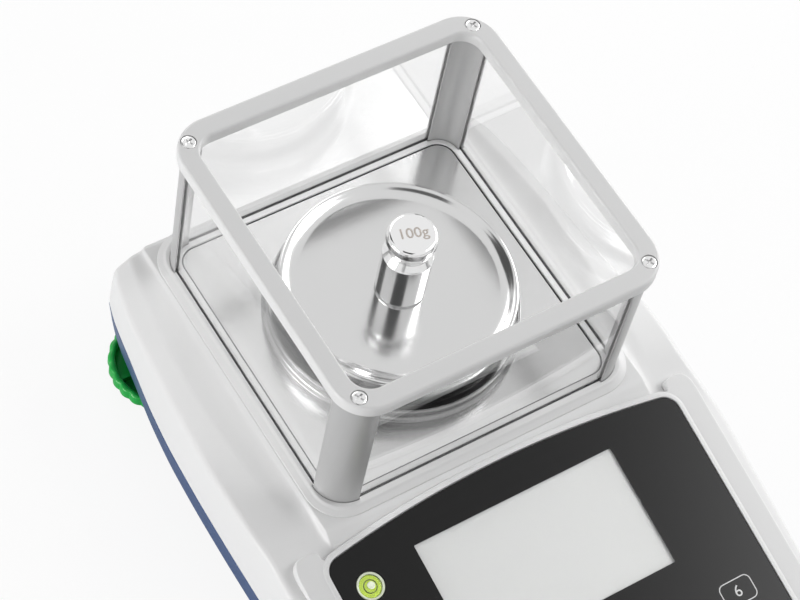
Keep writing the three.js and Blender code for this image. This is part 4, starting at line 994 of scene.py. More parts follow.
    def outer(self) -> Array:
        """Gives the upper housing's outside: soft sections, mirrored, and a wall at each end.

        Returns:
            Sections along the body by points across by 3.
        """
        runs = self.runs()
        places, fields = self.sizes()
        seam, shoulder, shoulder_z, ridge, ridge_z, ground = through(places, fields, runs).T
        ground = np.minimum(ground, LAYOUT.plate_z - self.deck_drop)
        low = np.full_like(runs, LAYOUT.seam_z)
        deck = np.full_like(runs, self.deck_half)
        bulge = seam + (shoulder - seam) * self.bulge_share
        corners = np.stack([
            np.stack([seam - self.seam_chamfer, low], axis=1),
            np.stack([seam, low + self.seam_chamfer], axis=1),
            np.stack([bulge, (low + shoulder_z) / 2], axis=1),
            np.stack([shoulder, shoulder_z], axis=1),
            np.stack([ridge, ridge_z], axis=1),
            np.stack([deck + (ridge - deck) * self.hip[0], ground + (ridge_z - ground) * self.hip[1]], axis=1),
            np.stack([deck, ground], axis=1),
            np.stack([deck * 0, ground], axis=1),
        ])
        half = soften(corners, self.section_reach, 7)
        drop = self.end_drop(runs)
        x = np.maximum(half[..., 0] - drop, 0)
        z = np.maximum(half[..., 1] - drop, LAYOUT.seam_z)
        y = np.broadcast_to(LAYOUT.half_length - runs, x.shape)
        right = np.stack([x, y, z], axis=-1)
        left = right[:-1][::-1] * np.array([-1.0, 1.0, 1.0])
        section = np.concatenate([right, left]).transpose(1, 0, 2)
        rear, nose = section[:1].copy(), section[-1:].copy()
        rear[..., 2] = LAYOUT.seam_z
        nose[..., 2] = LAYOUT.seam_z
        return np.concatenate([rear, section, nose])

    def upper_wall(self) -> Surface:
        """Makes the upper housing's wall: its outside and an inner skin, joined along their lower edges.

        The inner skin is the outside drawn in by the wall's thickness, as a share of the half width
        and half length, and lowered by the same thickness, less near the seam.

        Returns:
            The closed wall.
        """
        outside = self.outer()
        x, y, z = np.moveaxis(outside, -1, 0)
        lowered = self.wall * np.clip((z - LAYOUT.seam_z) / self.wall_fade, 0, 1)
        inside = np.stack([x * (1 - self.wall / LAYOUT.half_width), y * (1 - self.wall / LAYOUT.half_length),
                           z - lowered], axis=-1)
        rows = np.concatenate([outside, inside[:, ::-1]], axis=1)
        tube = grid(rows, ring_columns=True)
        count = rows.shape[1]
        near = np.arange(count // 2 - 1)
        strip = np.stack([near, near + 1, count - 2 - near, count - 1 - near], axis=1)
        strips = np.concatenate([strip, strip + (len(rows) - 1) * count])
        return Surface(tube.points, tube.faces + [tuple(quad) for quad in strips.tolist()])

    def openings(self) -> Surface:
        """Gathers what goes through the upper housing: column, display, vial and rear sockets.

        Returns:
            The cutters as one surface.
        """
        serial = slab(*self.serial_hole, 0.5)
        jack = drill(self.jack_hole, -6, 6, 40).lying_back().moved(self.jack[0], LAYOUT.half_length, self.jack[1])
        return together([self.column(), LAYOUT.on_display(LAYOUT.window_cutter(12)), serial, jack])

    def column(self) -> Surface:
        """Makes the cutter of the hole that the pan's column passes through."""
        return drill(self.column_hole, 60, 80, 64).moved(0, LAYOUT.shield_y)

    def build_upper(self) -> None:
        """Builds the upper housing, a thin shell with its openings, and the pad under the steel plate."""
        shell = loose("housing_shell", self.upper_wall())
        cut(shell, self.openings())
        present(shell, Finishes.HOUSING_GREY, "base", ["upper_housing"])
        outline = round_rectangle(*self.pad_half, self.pad_corner)
        pad = loose("plate_pad", LAYOUT.on_shield(prism(outline, *self.pad_z, 0.4)))
        cut(pad, self.column())
        present(pad, Finishes.HOUSING_GREY, "base")

    def build_lower(self) -> None:
        """Builds the lower housing, a tray whose walls lean in, with holes for studs and screws."""
        seam = LAYOUT.seam_z
        low = LAYOUT.floor_z
        section = soften([[-self.seam_chamfer, seam - self.seam_gap], [0, seam - self.seam_chamfer - self.seam_gap],
                          [-self.lower_draft, low + self.lower_slope], [-self.lower_draft - self.lower_slope, low]],
                         [0, 0.3, self.lower_edge, 0], 6)
        shrink = 1 + section[:, None, :1] / np.array([LAYOUT.half_width, LAYOUT.half_length])
        rows = raised(self.plan()[None] * shrink, section[:, 1:])
        skin = grid(rows, ring_columns=True)
        count = rows.shape[1]
        last = tuple(range((rows.shape[0] - 1) * count, rows.shape[0] * count))
        tray = loose("housing_tray", Surface(skin.points, skin.faces + [last]))
        low_face = min(tray.data.polygons, key=lambda face: face.center.z)
        if low_face.normal.z > 0:
            tray.data.flip_normals()
        solidify = tray.modifiers.new("wall", "SOLIDIFY")
        solidify.thickness = self.wall * METRES
        solidify.offset = -1.0
        settle(tray)
        drills = at_corners(drill(self.stud_hole, 10, 26, 40), *self.feet)
        drills += [drill(self.screw_hole, 10, 26, 32).moved(*place) for place in self.screws]
        cut(tray, together(drills))
        present(tray, Finishes.HOUSING_BLUE, "base", ["lower_housing"])


# Display


@dataclass
class Display:
    """Display surround, panel, window, keys and level vial, drawn in the display's own plane."""

    # Places count up the panel from the middle of the window's upper edge
    panel_half: float = 87.0
    apex: float = 16.1
    bottom: float = -98.9
    arch: float = 505.0
    corner: float = 7.0
    sheet: float = 0.8
    window: Pair = (98.5, 54.9)
    lip_width: float = 2.1
    lip_height: float = 0.7
    surround_half: float = 99.4
    surround_bottom: float = -102.4
    surround_depth: float = 7.0
    surround_edge: float = 1.6
    recess: float = 1.1
    recess_gap: float = 0.3
    ear_inner: float = 86.7
    vial_radius: float = 6.2
    bubble_ring: float = 2.6
    key_row: float = -78.0
    key_pitch: float = 27.0
    key_size: Pair = (15.0, 10.0)
    key_corner: float = 2.4
    key_figure: float = 5.0
    print_width: float = 0.45
    print_height: float = 0.03

    def panel_outline(self, grow: float = 0.0) -> Array:
        """Gives the panel's outline, anticlockwise: straight sides, round corners and an arched top.

        The arch is a circle about (0, apex - R). Each upper corner is a small circle that touches
        both the side and the arch from inside.

        Args:
            grow: how far the outline moves outwards.

        Returns:
            The outline's points.
        """
        half = self.panel_half + grow
        radius = self.arch + grow
        corner = self.corner + grow
        arch_y = self.apex - self.arch
        corner_x = half - corner
        corner_y = arch_y + math.sqrt((radius - corner) ** 2 - corner_x ** 2)
        meet = math.atan2(corner_y - arch_y, corner_x)

        def arc(x: float, y: float, size: float, start: float, end: float, steps: int) -> Array:
            """Gives points on a circle between two angles."""
            return arc_points(np.linspace(start, end, steps), size) + np.array([x, y])

        quarter = math.pi / 2
        return np.concatenate([
            arc(-corner_x, self.bottom - grow + corner, corner, 2 * quarter, 3 * quarter, 12),
            arc(corner_x, self.bottom - grow + corner, corner, 3 * quarter, 4 * quarter, 12),
            arc(corner_x, corner_y, corner, 0.0, meet, 12),
            arc(0.0, arch_y, radius, meet, math.pi - meet, 60)[1:-1],
            arc(-corner_x, corner_y, corner, math.pi - meet, math.pi, 12),
        ])

    def surround_outline(self) -> Array:
        """Gives the raised ground's outline: an ear beside each end of the arch, and the arch between.

        Returns:
            The outline's points; on the arch y = y0 plus the root of R^2 - x^2.
        """
        radius = self.arch + self.lip_width
        arch_y = self.apex - self.arch
        x = np.linspace(self.ear_inner, -self.ear_inner, 41)
        arch = np.stack([x, arch_y + np.sqrt(radius ** 2 - x ** 2) - 0.05], axis=1)
        half = self.surround_half
        right = soften(np.array([[0, self.surround_bottom], [half, self.surround_bottom], [half, self.apex],
                                 [self.ear_inner, self.apex], arch[0], arch[6]]), [0, 13, 9, 4.5, 2.5, 0], 9)
        left = right[::-1] * np.array([-1.0, 1.0])
        return np.concatenate([right, arch[7:-7], left])

    def build_surround(self) -> None:
        """Builds the raised ground, its recess for the panel, and the bright lip round the panel."""
        ground = loose("display_surround", LAYOUT.on_display(
            prism(self.surround_outline(), -self.surround_depth, 0.0, self.surround_edge, 6)))
        cut(ground, LAYOUT.on_display(prism(self.panel_outline(self.recess_gap), -self.recess, 6.0)))
        cut(ground, LAYOUT.on_display(LAYOUT.window_cutter(14)))
        present(ground, Finishes.HOUSING_GREY, "base")
        foot = self.lip_width + 0.9
        section = soften([[0.3, -1.0], [0.3, self.lip_height], [self.lip_width, self.lip_height * 0.6],
                          [foot, -0.35], [foot, -1.0]], [0, 0.5, 1.0, 0.4, 0], 4, True)
        lip = grid(carried(self.panel_outline(), section), ring_rows=True, ring_columns=True)
        piece("display_lip", LAYOUT.on_display(lip), Finishes.HOUSING_GREY, "base")

    def build_panel(self) -> None:
        """Builds the black panel with its window and vial hole, the clear film and the printed keys."""
        panel = loose("front_panel", LAYOUT.on_display(prism(self.panel_outline(), -self.sheet, 0.0, 0.25, 3)))
        width, height = self.window
        window = round_rectangle(width / 2, height / 2, 0.6, 4) + np.array([0, -height / 2])
        vial = drill(self.vial_radius + 0.1, -4, 4, 64).moved(*LAYOUT.vial)
        cut(panel, LAYOUT.on_display(prism(window, -4, 4) + vial))
        present(panel, Finishes.PANEL_BLACK, "base", ["display_panel"])
        film = round_rectangle(width / 2 - 0.08, height / 2 - 0.08, 0.5, 4) + np.array([0, -height / 2])
        piece("window_film", LAYOUT.on_display(prism(film, -0.45, -0.08, 0.05, 1)), Finishes.FILM, "base")
        self.build_keys()

    def build_keys(self) -> None:
        """Prints a row of touch keys under the window: round-cornered outlines, each with a number."""
        line, ink = self.print_width, self.print_height
        for number in range(6):
            x = (number - 2.5) * self.key_pitch
            outline = round_rectangle(self.key_size[0] / 2, self.key_size[1] / 2, self.key_corner, 6)
            outline = outline + np.array([x, self.key_row])
            section = np.array([[0, 0], [line, 0], [line, ink], [0, ink]])
            ring = grid(carried(outline, section), ring_rows=True, ring_columns=True)
            piece(f"key_outline_{number + 1}", LAYOUT.on_display(ring), Finishes.PANEL_PRINT, "base")
            mark = lettered(str(number + 1), self.key_figure, ink).moved(x, self.key_row)
            piece(f"key_number_{number + 1}", LAYOUT.on_display(mark), Finishes.PANEL_PRINT, "base")

    def build_vial(self) -> None:
        """Builds the level vial: cup, fluid, a bubble with its ring, and a low clear lens."""
        radius = self.vial_radius
        cup = soften([[0, -9], [radius - 0.2, -9], [radius - 0.2, -0.2], [radius - 0.5, 0.1], [radius - 1.2, -0.1],
                      [radius - 1.2, -7.8], [0, -7.8]], [0, 0.4, 0.2, 0.2, 0.2, 0.3, 0], 3)
        self.vial_piece("level_cup", turned(cup), Finishes.VIAL_CUP, ["vial_cup"])
        fluid = soften([[0, -7.7], [radius - 1.35, -7.7], [radius - 1.35, -0.9], [0, -0.9]], [0, 0.2, 0.5, 0], 3)
        self.vial_piece("level_fluid", turned(fluid), Finishes.VIAL_FLUID, ["vial_fluid"])
        ring = [[self.bubble_ring, -0.88], [self.bubble_ring + 0.35, -0.88], [self.bubble_ring + 0.35, -0.8],
                [self.bubble_ring, -0.8]]
        self.vial_piece("level_ring", turned(ring, 64, True), Finishes.VIAL_LINE)
        bubble = soften([[0, -0.89], [1.7, -0.89], [1.6, -0.62], [0, -0.55]], [0, 0.2, 0.8, 0], 4)
        # The bubble takes the cup's finish, tinted green as painted light from the fluid
        self.vial_piece("level_bubble", turned(bubble, 48).moved(0.5, 0.3), Finishes.VIAL_CUP)
        lens = soften([[0, -0.5], [radius - 1.3, -0.5], [radius - 1.3, -0.15], [0, 0.35]], [0, 0.1, 1.6, 0], 6)
        self.vial_piece("level_lens", turned(lens), Finishes.FILM)

    def vial_piece(self, name: str, surface: Surface, finish: Finishes,
                   replaces: Sequence[str] = ()) -> None:
        """Puts a piece of the vial in its place.

        Args:
            name: the piece's name.
            surface: its surface, drawn round the vial's middle.
            finish: its finish.
            replaces: the nodes that it stands for.
        """
        piece(name, LAYOUT.on_display(surface.moved(*LAYOUT.vial)), finish, "base", replaces)


def lettered(text: str, height: float, thickness: float, turn_degrees: float = 0.0,
             bolder: float = 0.0) -> Surface:
    """Sets a short text as raised print, centred.

    Args:
        text: what it says.
        height: the height of its figures.
        thickness: how far it stands up.
        turn_degrees: its turn about the Z axis.
        bolder: how far the strokes grow outwards.

    Returns:
        The print's surface, its underside at height 0.
    """
    curve = bpy.data.curves.new("lettering", "FONT")
    curve.body = text
    curve.size = height * METRES / FIGURE_SHARE
    curve.align_x = "CENTER"
    curve.align_y = "CENTER"
    curve.extrude = thickness * METRES / 2
    curve.offset = bolder * METRES
    made = add_object("lettering", curve)
    graph = bpy.context.evaluated_depsgraph_get()
    mesh = bpy.data.meshes.new_from_object(made.evaluated_get(graph))
    points = np.empty(len(mesh.vertices) * 3)
    mesh.vertices.foreach_get("co", points)
    faces = [tuple(face.vertices) for face in mesh.polygons]
    bpy.data.objects.remove(made)
    bpy.data.meshes.remove(mesh)
    flat = points.reshape(-1, 3) / METRES + np.array([0, 0, thickness / 2])
    return Surface(flat, faces).turned_about_z(turn_degrees)


# Draft shield


@dataclass
class DraftShield:
    """Base frame, corner posts, glass panes, top rim and its screws, drawn round the shield's middle."""

    # An outline is half its width, half its length and its corners' radius; heights count from the steel plate
    plate: Triple = (68.3, 66.1, 8.3)
    groove: Pair = (72.4, 70.0)
    groove_half: float = 1.3
    groove_depth: float = 1.6
    # Height of the dark strips beside the glass, which are painted shade in the groove
    shade_strip_height: float = 1.35
    # Corners of the dark strip of painted shade in the plate's gap: sideways from the frame's inner edge, and height
    plate_gap_shade_strip: tuple[Pair, ...] = ((-0.58, -0.6), (0.1, -0.6), (0.1, -0.1), (-0.58, -0.1))
    # Where the dark strips of painted shade beside the glass begin and end, as shares of the groove's half width
    glass_groove_shade_strips: tuple[tuple[str, float, float], ...] = (("inner", -1.0, -0.8), ("outer", 0.8, 1.0))
    arc: Pair = (60.5, 58.1)
    frame_lip: Triple = (76.0, 74.5, 14.0)
    frame_foot: Triple = (79.0, 77.2, 17.0)
    proud: float = 0.8
    foot_z: float = -2.0
    post_outer: float = 14.0
    post_inner: float = 10.0
    slot_depth: float = 2.4
    post_z: Pair = (-0.2, 75.0)
    glass_half: float = 1.0
    glass_z: Pair = (-0.8, 77.2)
    rim_inner: Triple = (67.3, 65.9, 9.0)
    rim_outer: Triple = (76.2, 75.2, 17.0)
    rim_z: Pair = (75.0, 81.6)
    rim_groove: float = 2.5
    screw: Pair = (68.6, 66.7)
    screw_head: float = 3.2
    cross_degrees: Pair = (25.0, 115.0)

    def groove_level(self, side: float, z: float) -> list[float]:
        """Gives one edge of the groove for the glass; it bends round the posts' centre."""
        reach = side * self.groove_half
        return [self.groove[0] + reach, self.groove[1] + reach, self.groove[0] - self.arc[0] + reach, z]

    def build_frame(self) -> None:
        """Builds the base frame: a low band with a groove for the glass and seats for the posts."""
        inner_x, inner_y, inner_r = self.plate
        lip_x, lip_y, lip_r = self.frame_lip
        foot_x, foot_y, foot_r = self.frame_foot
        floor = self.proud - self.groove_depth
        levels = soften([
            [inner_x, inner_y, inner_r, self.foot_z], [inner_x, inner_y, inner_r, self.proud],
            self.groove_level(-1, self.proud), self.groove_level(-1, floor),
            self.groove_level(1, floor), self.groove_level(1, self.proud),
            [lip_x - 0.6, lip_y - 0.6, lip_r - 0.6, self.proud],
            [lip_x + 0.4, lip_y + 0.4, lip_r + 0.4, self.proud - 0.9],
            [foot_x, foot_y, foot_r, self.foot_z + 0.5], [foot_x, foot_y, foot_r, self.foot_z],
        ], [0, 0.55, 0.25, 0, 0, 0.25, 0.6, 0.6, 0.5, 0], 4, True)
        frame = loose("shield_base", LAYOUT.on_shield(framed(levels)))
        seats = [self.post_outline(0.3) * np.array([sign_x, sign_y]) for sign_x in (-1, 1) for sign_y in (-1, 1)]
        for seat in seats:
            cut(frame, LAYOUT.on_shield(prism(seat, self.post_z[0], 6.0)))
        present(frame, Finishes.SHIELD_GREY, "draft_shield", ["shield_frame"])
        self.build_shade_strips()

    def build_shade_strips(self) -> None:
        """Builds the dark strips of painted shade: one in the gap round the steel plate, one on each side of the
        glass in its groove.
        """
        inner_x, inner_y, inner_r = self.plate
        top = self.proud - self.groove_depth + self.shade_strip_height
        low = self.proud - self.groove_depth - 0.1
        gap = [[inner_x + side, inner_y + side, inner_r + side, z] for side, z in self.plate_gap_shade_strip]
        # A dark strip in the gap round the steel plate: painted shade
        piece("plate_gap_shade_strip", LAYOUT.on_shield(framed(np.array(gap))), Finishes.RUBBER, "draft_shield")
        # A dark strip on each side of the glass in its groove: painted shade
        for name, start, end in self.glass_groove_shade_strips:
            loop = [self.groove_level(start, low), self.groove_level(end, low), self.groove_level(end, top),
                    self.groove_level(start, top)]
            piece(f"glass_groove_shade_strip_{name}", LAYOUT.on_shield(framed(np.array(loop))), Finishes.RUBBER, "draft_shield")

    def post_outline(self, grow: float) -> Array:
        """Gives the seat of the post at the corner at +X +Y: its quarter ring, a little larger.

        Args:
            grow: how far the outline moves outwards.

        Returns:
            The outline's points.
        """
        turn = np.linspace(0, math.pi / 2, 25)
        outer = arc_points(turn, self.post_outer + grow)
        inner = arc_points(turn, self.post_inner - grow)[::-1]
        ends = np.array([[-grow, self.post_outer + grow], [-grow, self.post_inner - grow],
                         [self.post_inner - grow, -grow], [self.post_outer + grow, -grow]])
        return np.concatenate([outer, ends[:2], inner, ends[2:]]) + np.array(self.arc)

    def slotted_outline(self) -> Array:
        """Gives a post's outline with a slot for the glass in each end face.

        Returns:
            The outline's points, anticlockwise.
        """
        turn = np.linspace(0, math.pi / 2, 33)[1:-1]
        outer = arc_points(turn, self.post_outer)
        inner = arc_points(turn, self.post_inner)[::-1]
        middle_x = self.groove[0] - self.arc[0]
        middle_y = self.groove[1] - self.arc[1]
        half, deep = self.groove_half, self.slot_depth
        first = soften([[self.post_inner, 0.8], [self.post_inner, 0], [middle_x - half, 0], [middle_x - half, deep],
                        [middle_x + half, deep], [middle_x + half, 0], [self.post_outer, 0],
                        [self.post_outer, 0.8]], 0.3, 2)
        second = soften([[0.8, self.post_outer], [0, self.post_outer], [0, middle_y + half],
                         [deep, middle_y + half], [deep, middle_y - half], [0, middle_y - half],
                         [0, self.post_inner], [0.8, self.post_inner]], 0.3, 2)
        return np.concatenate([first, outer, second, inner]) + np.array(self.arc)

    def build_posts(self) -> None:
        """Builds the four corner posts: an extrusion, mirrored to each corner."""
        post = prism(self.slotted_outline(), *self.post_z)
        for place, sign_x, sign_y in CORNERS:
            piece(f"corner_post_{place}", LAYOUT.on_shield(post.mirrored(sign_x, sign_y)), Finishes.ANODISED,
                  "draft_shield", [f"shield_post_{place}"])

    def build_glass(self) -> None:
        """Builds the four panes, with ground edges, standing in the groove and the posts' slots."""
        half = self.glass_half
        reach_x = self.arc[0] + self.slot_depth - 0.6
        reach_y = self.arc[1] + self.slot_depth - 0.6
        x, y = self.groove
        low, high = self.glass_z
        panes = {"front": ((-reach_x, reach_x), (-y - half, -y + half)),
                 "back": ((-reach_x, reach_x), (y - half, y + half)),
                 "left": ((-x - half, -x + half), (-reach_y, reach_y)),
                 "right": ((x - half, x + half), (-reach_y, reach_y))}
        for side, (across, along) in panes.items():
            pane = LAYOUT.on_shield(slab(across, along, (low, high), 0.25))
            piece(f"pane_{side}", pane, Finishes.GLASS, "draft_shield", [f"glass_{side}"])

    def rim_level(self, share: float, z: float) -> list[float]:
        """Gives a level of the rim's section, at a share of the way from its inner to its outer outline."""
        inner, outer = np.array(self.rim_inner), np.array(self.rim_outer)
        return [*(inner + (outer - inner) * share), z]

    def build_rim(self) -> None:
        """Builds the top rim, a round-edged frame with the glass's groove and screw seats, and its screws."""
        low, high = self.rim_z
        levels = soften([
            self.rim_level(0, low), self.groove_level(-1, low), self.groove_level(-1, low + self.rim_groove),
            self.groove_level(1, low + self.rim_groove), self.groove_level(1, low), self.rim_level(1, low),
            self.rim_level(1, high), self.rim_level(0, high),
        ], [1.6, 0, 0, 0, 0, 1.6, 2.3, 2.0], 6, True)
        rim = loose("shield_top", LAYOUT.on_shield(framed(levels, 20)))
        seat = drill(self.screw_head + 0.22, high - 2.2, high + 4)
        cut(rim, LAYOUT.on_shield(together(at_corners(seat, *self.screw))))
        present(rim, Finishes.SHIELD_GREY, "draft_shield", ["shield_rim"])
        for place, sign_x, sign_y in CORNERS:
            self.build_screw(place, sign_x * self.screw[0], sign_y * self.screw[1], high)

    def build_screw(self, place: str, x: float, y: float, top: float) -> None:
        """Builds one rim screw: a low domed head with a cross, over a plain shank.

        Args:
            place: the corner's name.
            x: the screw's place across.
            y: the screw's place along.
            top: the height of its head.
        """
        head = self.screw_head
        profile = soften([[0, top - 9.0], [1.1, top - 9.0], [1.1, top - 1.9], [head, top - 1.9], [head, top - 0.35],
                          [head - 0.7, top], [0, top]], [0, 0.2, 0.1, 0.2, 0.3, 0.9, 0], 4)
        screw = loose(f"rim_screw_head_{place}", LAYOUT.on_shield(turned(profile, 48).moved(x, y)))
        arms = [slab((-2.0, 2.0), (-0.42, 0.42), (top - 1.2, top + 2), 0.15).turned_about_z(angle).moved(x, y)
                for angle in self.cross_degrees]
        for arm in arms:
            cut(screw, LAYOUT.on_shield(arm))
        present(screw, Finishes.SCREW_STEEL, "draft_shield", [f"rim_screw_{place}"])

    def build(self) -> None:
        """Builds the whole draft shield."""
        self.build_frame()
        self.build_posts()
        self.build_glass()
        self.build_rim()


# Weighing stack


@dataclass
class WeighingStack:
    """Steel plate, draft ring, pan and calibration weight, drawn round the shield's middle."""

    # Half the plate's width, half its length and its corners' radius; heights count from the plate's top
    plate: Triple = (67.7, 65.5, 7.7)
    plate_sheet: float = 1.2
    plate_hole: float = 20.0
    ring_inner: float = 53.0
    ring_foot: float = 55.3
    ring_top: float = 54.5
    ring_height: float = 8.0
    pan_floor: float = 19.9
    pan_floor_radius: float = 45.8
    brim: float = 22.1
    rim_radius: float = 51.4
    skirt_radius: float = 50.5
    skirt_z: float = 7.0
    sheet: float = 1.2
    weight_radius: float = 11.05
    weight_y: float = -1.2
    weight_height: float = 40.4
    body_height: float = 26.5
    knob_radius: float = 10.9
    knob_height: float = 6.6
    neck_radius: float = 7.4
    mark_turn: float = -17.7

    def build_plate(self) -> None:
        """Builds the deck's steel plate with a folded edge and the hole for the column."""
        sheet = prism(round_rectangle(*self.plate), -self.plate_sheet, 0.0, 0.45)
        plate = loose("steel_plate", LAYOUT.on_shield(sheet))
        cut(plate, LAYOUT.on_shield(drill(self.plate_hole, -4, 4, 64)))
        present(plate, Finishes.DECK_STEEL, "base", ["deck_plate"])

    def build_ring(self) -> None:
        """Builds the draft ring: a thin wall between two rolled beads."""
        inner, foot, top, height = self.ring_inner, self.ring_foot, self.ring_top, self.ring_height
        wall = inner + 0.6
        profile = soften([[inner, 0], [foot, 0], [foot, 1.3], [wall + 0.9, 1.7], [wall, 2.6], [wall, height - 2.2],
                          [top - 0.1, height - 1.7], [top, height], [inner + 0.2, height], [inner, height - 0.6]],
                         [0.2, 0.6, 0.7, 0.8, 1.0, 0.7, 0.6, 0.7, 0.5, 0.3], 5, True)
        # The ring's steel is darker as painted shade next to the pan
        piece("draft_collar_ring", LAYOUT.on_shield(turned(profile, 160, True)), Finishes.RING_STEEL, "draft_collar",
              ["draft_ring"])

    def build_pan(self) -> None:
        """Builds the pan: a flat floor, a flared brim and a rolled rim that turns down into a skirt."""
        floor, brim, sheet = self.pan_floor, self.brim, self.sheet
        under = floor - sheet
        rim, skirt = self.rim_radius, self.skirt_radius
        profile = soften([[0, under], [self.pan_floor_radius + 0.4, under], [skirt - sheet - 0.6, brim - 1.6],
                          [skirt - sheet, brim - 2.6], [skirt - sheet, self.skirt_z], [skirt, self.skirt_z],
                          [skirt, brim - 5.6], [rim, brim - 4.4], [rim, brim - 0.7], [rim - 0.9, brim],
                          [rim - 2.0, brim - 0.05], [self.pan_floor_radius, floor], [0, floor]],
                         [0, 1.5, 0.8, 0.6, 0.3, 0.3, 0.6, 0.8, 0.9, 0.8, 1.4, 2.6, 0], 6)
        piece("pan_dish", LAYOUT.on_shield(turned(profile, 160)), Finishes.PAN_STEEL, "pan",
              ["weighing_pan"])

    def build_weight(self) -> None:
        """Builds the weight: a cylinder, a cone, a waisted neck and a flat knob, with its value on top."""
        floor = self.pan_floor
        body, knob, neck = self.weight_radius, self.knob_radius, self.neck_radius
        top = floor + self.weight_height
        shoulder = floor + self.body_height
        under_knob = top - self.knob_height
        profile = soften([[0, floor], [body - 1.2, floor], [body, floor + 1.2], [body, shoulder - 0.5],
                          [body - 0.5, shoulder], [neck + 1.5, shoulder + 2.6], [neck + 1.4, shoulder + 3.2],
                          [neck, shoulder + 3.5], [neck, under_knob - 1.6], [neck + 1.2, under_knob - 0.2],
                          [knob - 0.6, under_knob + 0.5], [knob, under_knob + 1.6], [knob, top - 1.3],
                          [knob - 1.3, top], [0, top]],
                         [0, 0.35, 0.35, 0.2, 0.2, 0.3, 0.2, 0.5, 1.2, 0.8, 0.7, 0.7, 0.8, 0.8, 0], 5)
        weight = turned(profile, 128).moved(0, self.weight_y)
        piece("weight_100g", LAYOUT.on_shield(weight), Finishes.CHROME, "weight",
              ["calibration_weight"])
        mark = lettered("100g", 4.8, 0.03, self.mark_turn, 0.08).moved(0, self.weight_y, top)
        piece("weight_mark", LAYOUT.on_shield(mark), Finishes.LASER_MARK, "weight")

    def build(self) -> None:
        """Builds the plate, the ring, the pan and the weight."""
        self.build_plate()
        self.build_ring()
        self.build_pan()
        self.build_weight()


# Feet


@dataclass
class LevellingFoot:
    """One foot: rubber pad, threaded stud and scalloped hand wheel."""

    place: str
    x: float
    y: float
    # Heights count from the table, and the wheel's own from its underside
    wheel_z: float = 5.3
    wheel_radius: float = 24.4
    wheel_height: float = 6.7
    lobe_depth: float = 0.8
    lobes: int = 24
    rim_wall: float = 2.6
    floor: float = 1.8
    hub_radius: float = 8.0
    bore: float = 4.3
    ribs: int = 6
    stud_radius: float = 4.0
    pitch: float = 1.25
    stud_top: float = 34.0

    def wheel(self) -> Surface:
        """Makes the wheel: the rim's radius is R minus d (1 - |cos(n a / 2)|), the rest is round.

        Returns:
            The wheel with its hub and ribs, its underside at height 0.
        """
        radius, height = self.wheel_radius, self.wheel_height
        inside = radius - self.lobe_depth - self.rim_wall
        section = soften([[self.bore, 0, 0], [radius - 1.4, 0, 0.6], [radius, 1.0, 1], [radius, height - 0.8, 1],
                          [radius - 0.9, height, 0.8], [inside + 0.8, height, 0.1], [inside, height - 0.8, 0],
                          [inside, self.floor, 0], [self.hub_radius, self.floor, 0], [self.hub_radius, height, 0],
                          [self.bore, height, 0]],
                         [0.3, 0.8, 0.7, 0.7, 0.7, 0.5, 0.6, 1.2, 1.0, 0.5, 0.3], 4, True)
        angle = np.linspace(0, 2 * math.pi, self.lobes * 12, endpoint=False)
        dip = self.lobe_depth * (1 - np.abs(np.cos(self.lobes * angle / 2)))
        reach = section[:, :1] - section[:, 2:] * dip[None]
        rim = grid(round_axis(reach, section[:, 1:2], angle), ring_rows=True, ring_columns=True)
        rib = slab((self.hub_radius - 0.5, inside + 0.5), (-0.9, 0.9), (self.floor - 0.5, height - 1.8), 0.3)
        ribs = [rib.turned_about_z(360 / self.ribs * number) for number in range(self.ribs)]
        return together([rim, *ribs])

    def stud(self) -> Surface:
        """Makes the stud: ball, neck and thread, whose radius is R minus a triangle wave of z and a.

        Returns:
            The stud, at its height over the table.
        """
        smooth = soften([[0, 2.3], [4.6, 2.3], [5.2, 3.0], [5.2, 4.2], [3.6, 4.7], [3.6, 6.0]],
                        [0, 0.5, 0.5, 0.5, 0.4, 0], 4)
        heights = np.arange(6.2, self.stud_top - 0.8, self.pitch / 8)
        column = np.concatenate([smooth, np.stack([np.full_like(heights, self.stud_radius), heights], axis=1),
                                 [[3.2, self.stud_top], [0, self.stud_top]]])
        cutting = np.zeros(len(column))
        cutting[len(smooth):len(smooth) + len(heights)] = 0.5
        angle = np.linspace(0, 2 * math.pi, 36, endpoint=False)
        phase = (column[:, 1:] / self.pitch - angle[None] / (2 * math.pi)) % 1
        reach = column[:, :1] - cutting[:, None] * (1 - np.abs(2 * phase - 1))
        return grid(round_axis(reach, column[:, 1:], angle), ring_columns=True)

    def pad(self) -> Surface:
        """Makes the pad: a rubber disc with a grooved sole and a socket for the stud's ball.

        Returns:
            The pad, standing on the table.
        """
        profile = soften([[0, 0], [3.2, 0], [3.6, 0.7], [4.4, 0.7], [4.8, 0], [6.4, 0], [6.8, 0.7], [7.6, 0.7],
                          [8.0, 0], [9.4, 0], [10, 0.7], [10, 3.9], [9.2, 5.0], [5.4, 5.0], [5.4, 2.2], [0, 2.2]],
                         [0, 0.2, 0.2, 0.2, 0.2, 0.2, 0.2, 0.2, 0.2, 0.5, 0.5, 0.8, 0.8, 0.4, 0.3, 0], 3)
        return turned(profile, 64)

    def build(self) -> None:
        """Builds the three pieces of the foot on their bodies."""
        name = self.place
        piece(f"pad_{name}_rubber", self.pad().moved(self.x, self.y), Finishes.RUBBER, f"pad_{name}",
              [f"foot_pad_{name}"])
        piece(f"wheel_{name}_grip", self.wheel().moved(self.x, self.y, self.wheel_z), Finishes.FOOT_GREEN,
              f"wheel_{name}", [f"foot_wheel_{name}"])
        piece(f"wheel_{name}_stud", self.stud().moved(self.x, self.y), Finishes.SCREW_STEEL, f"wheel_{name}",
              [f"foot_stud_{name}"])


# Rear sockets and inner pieces


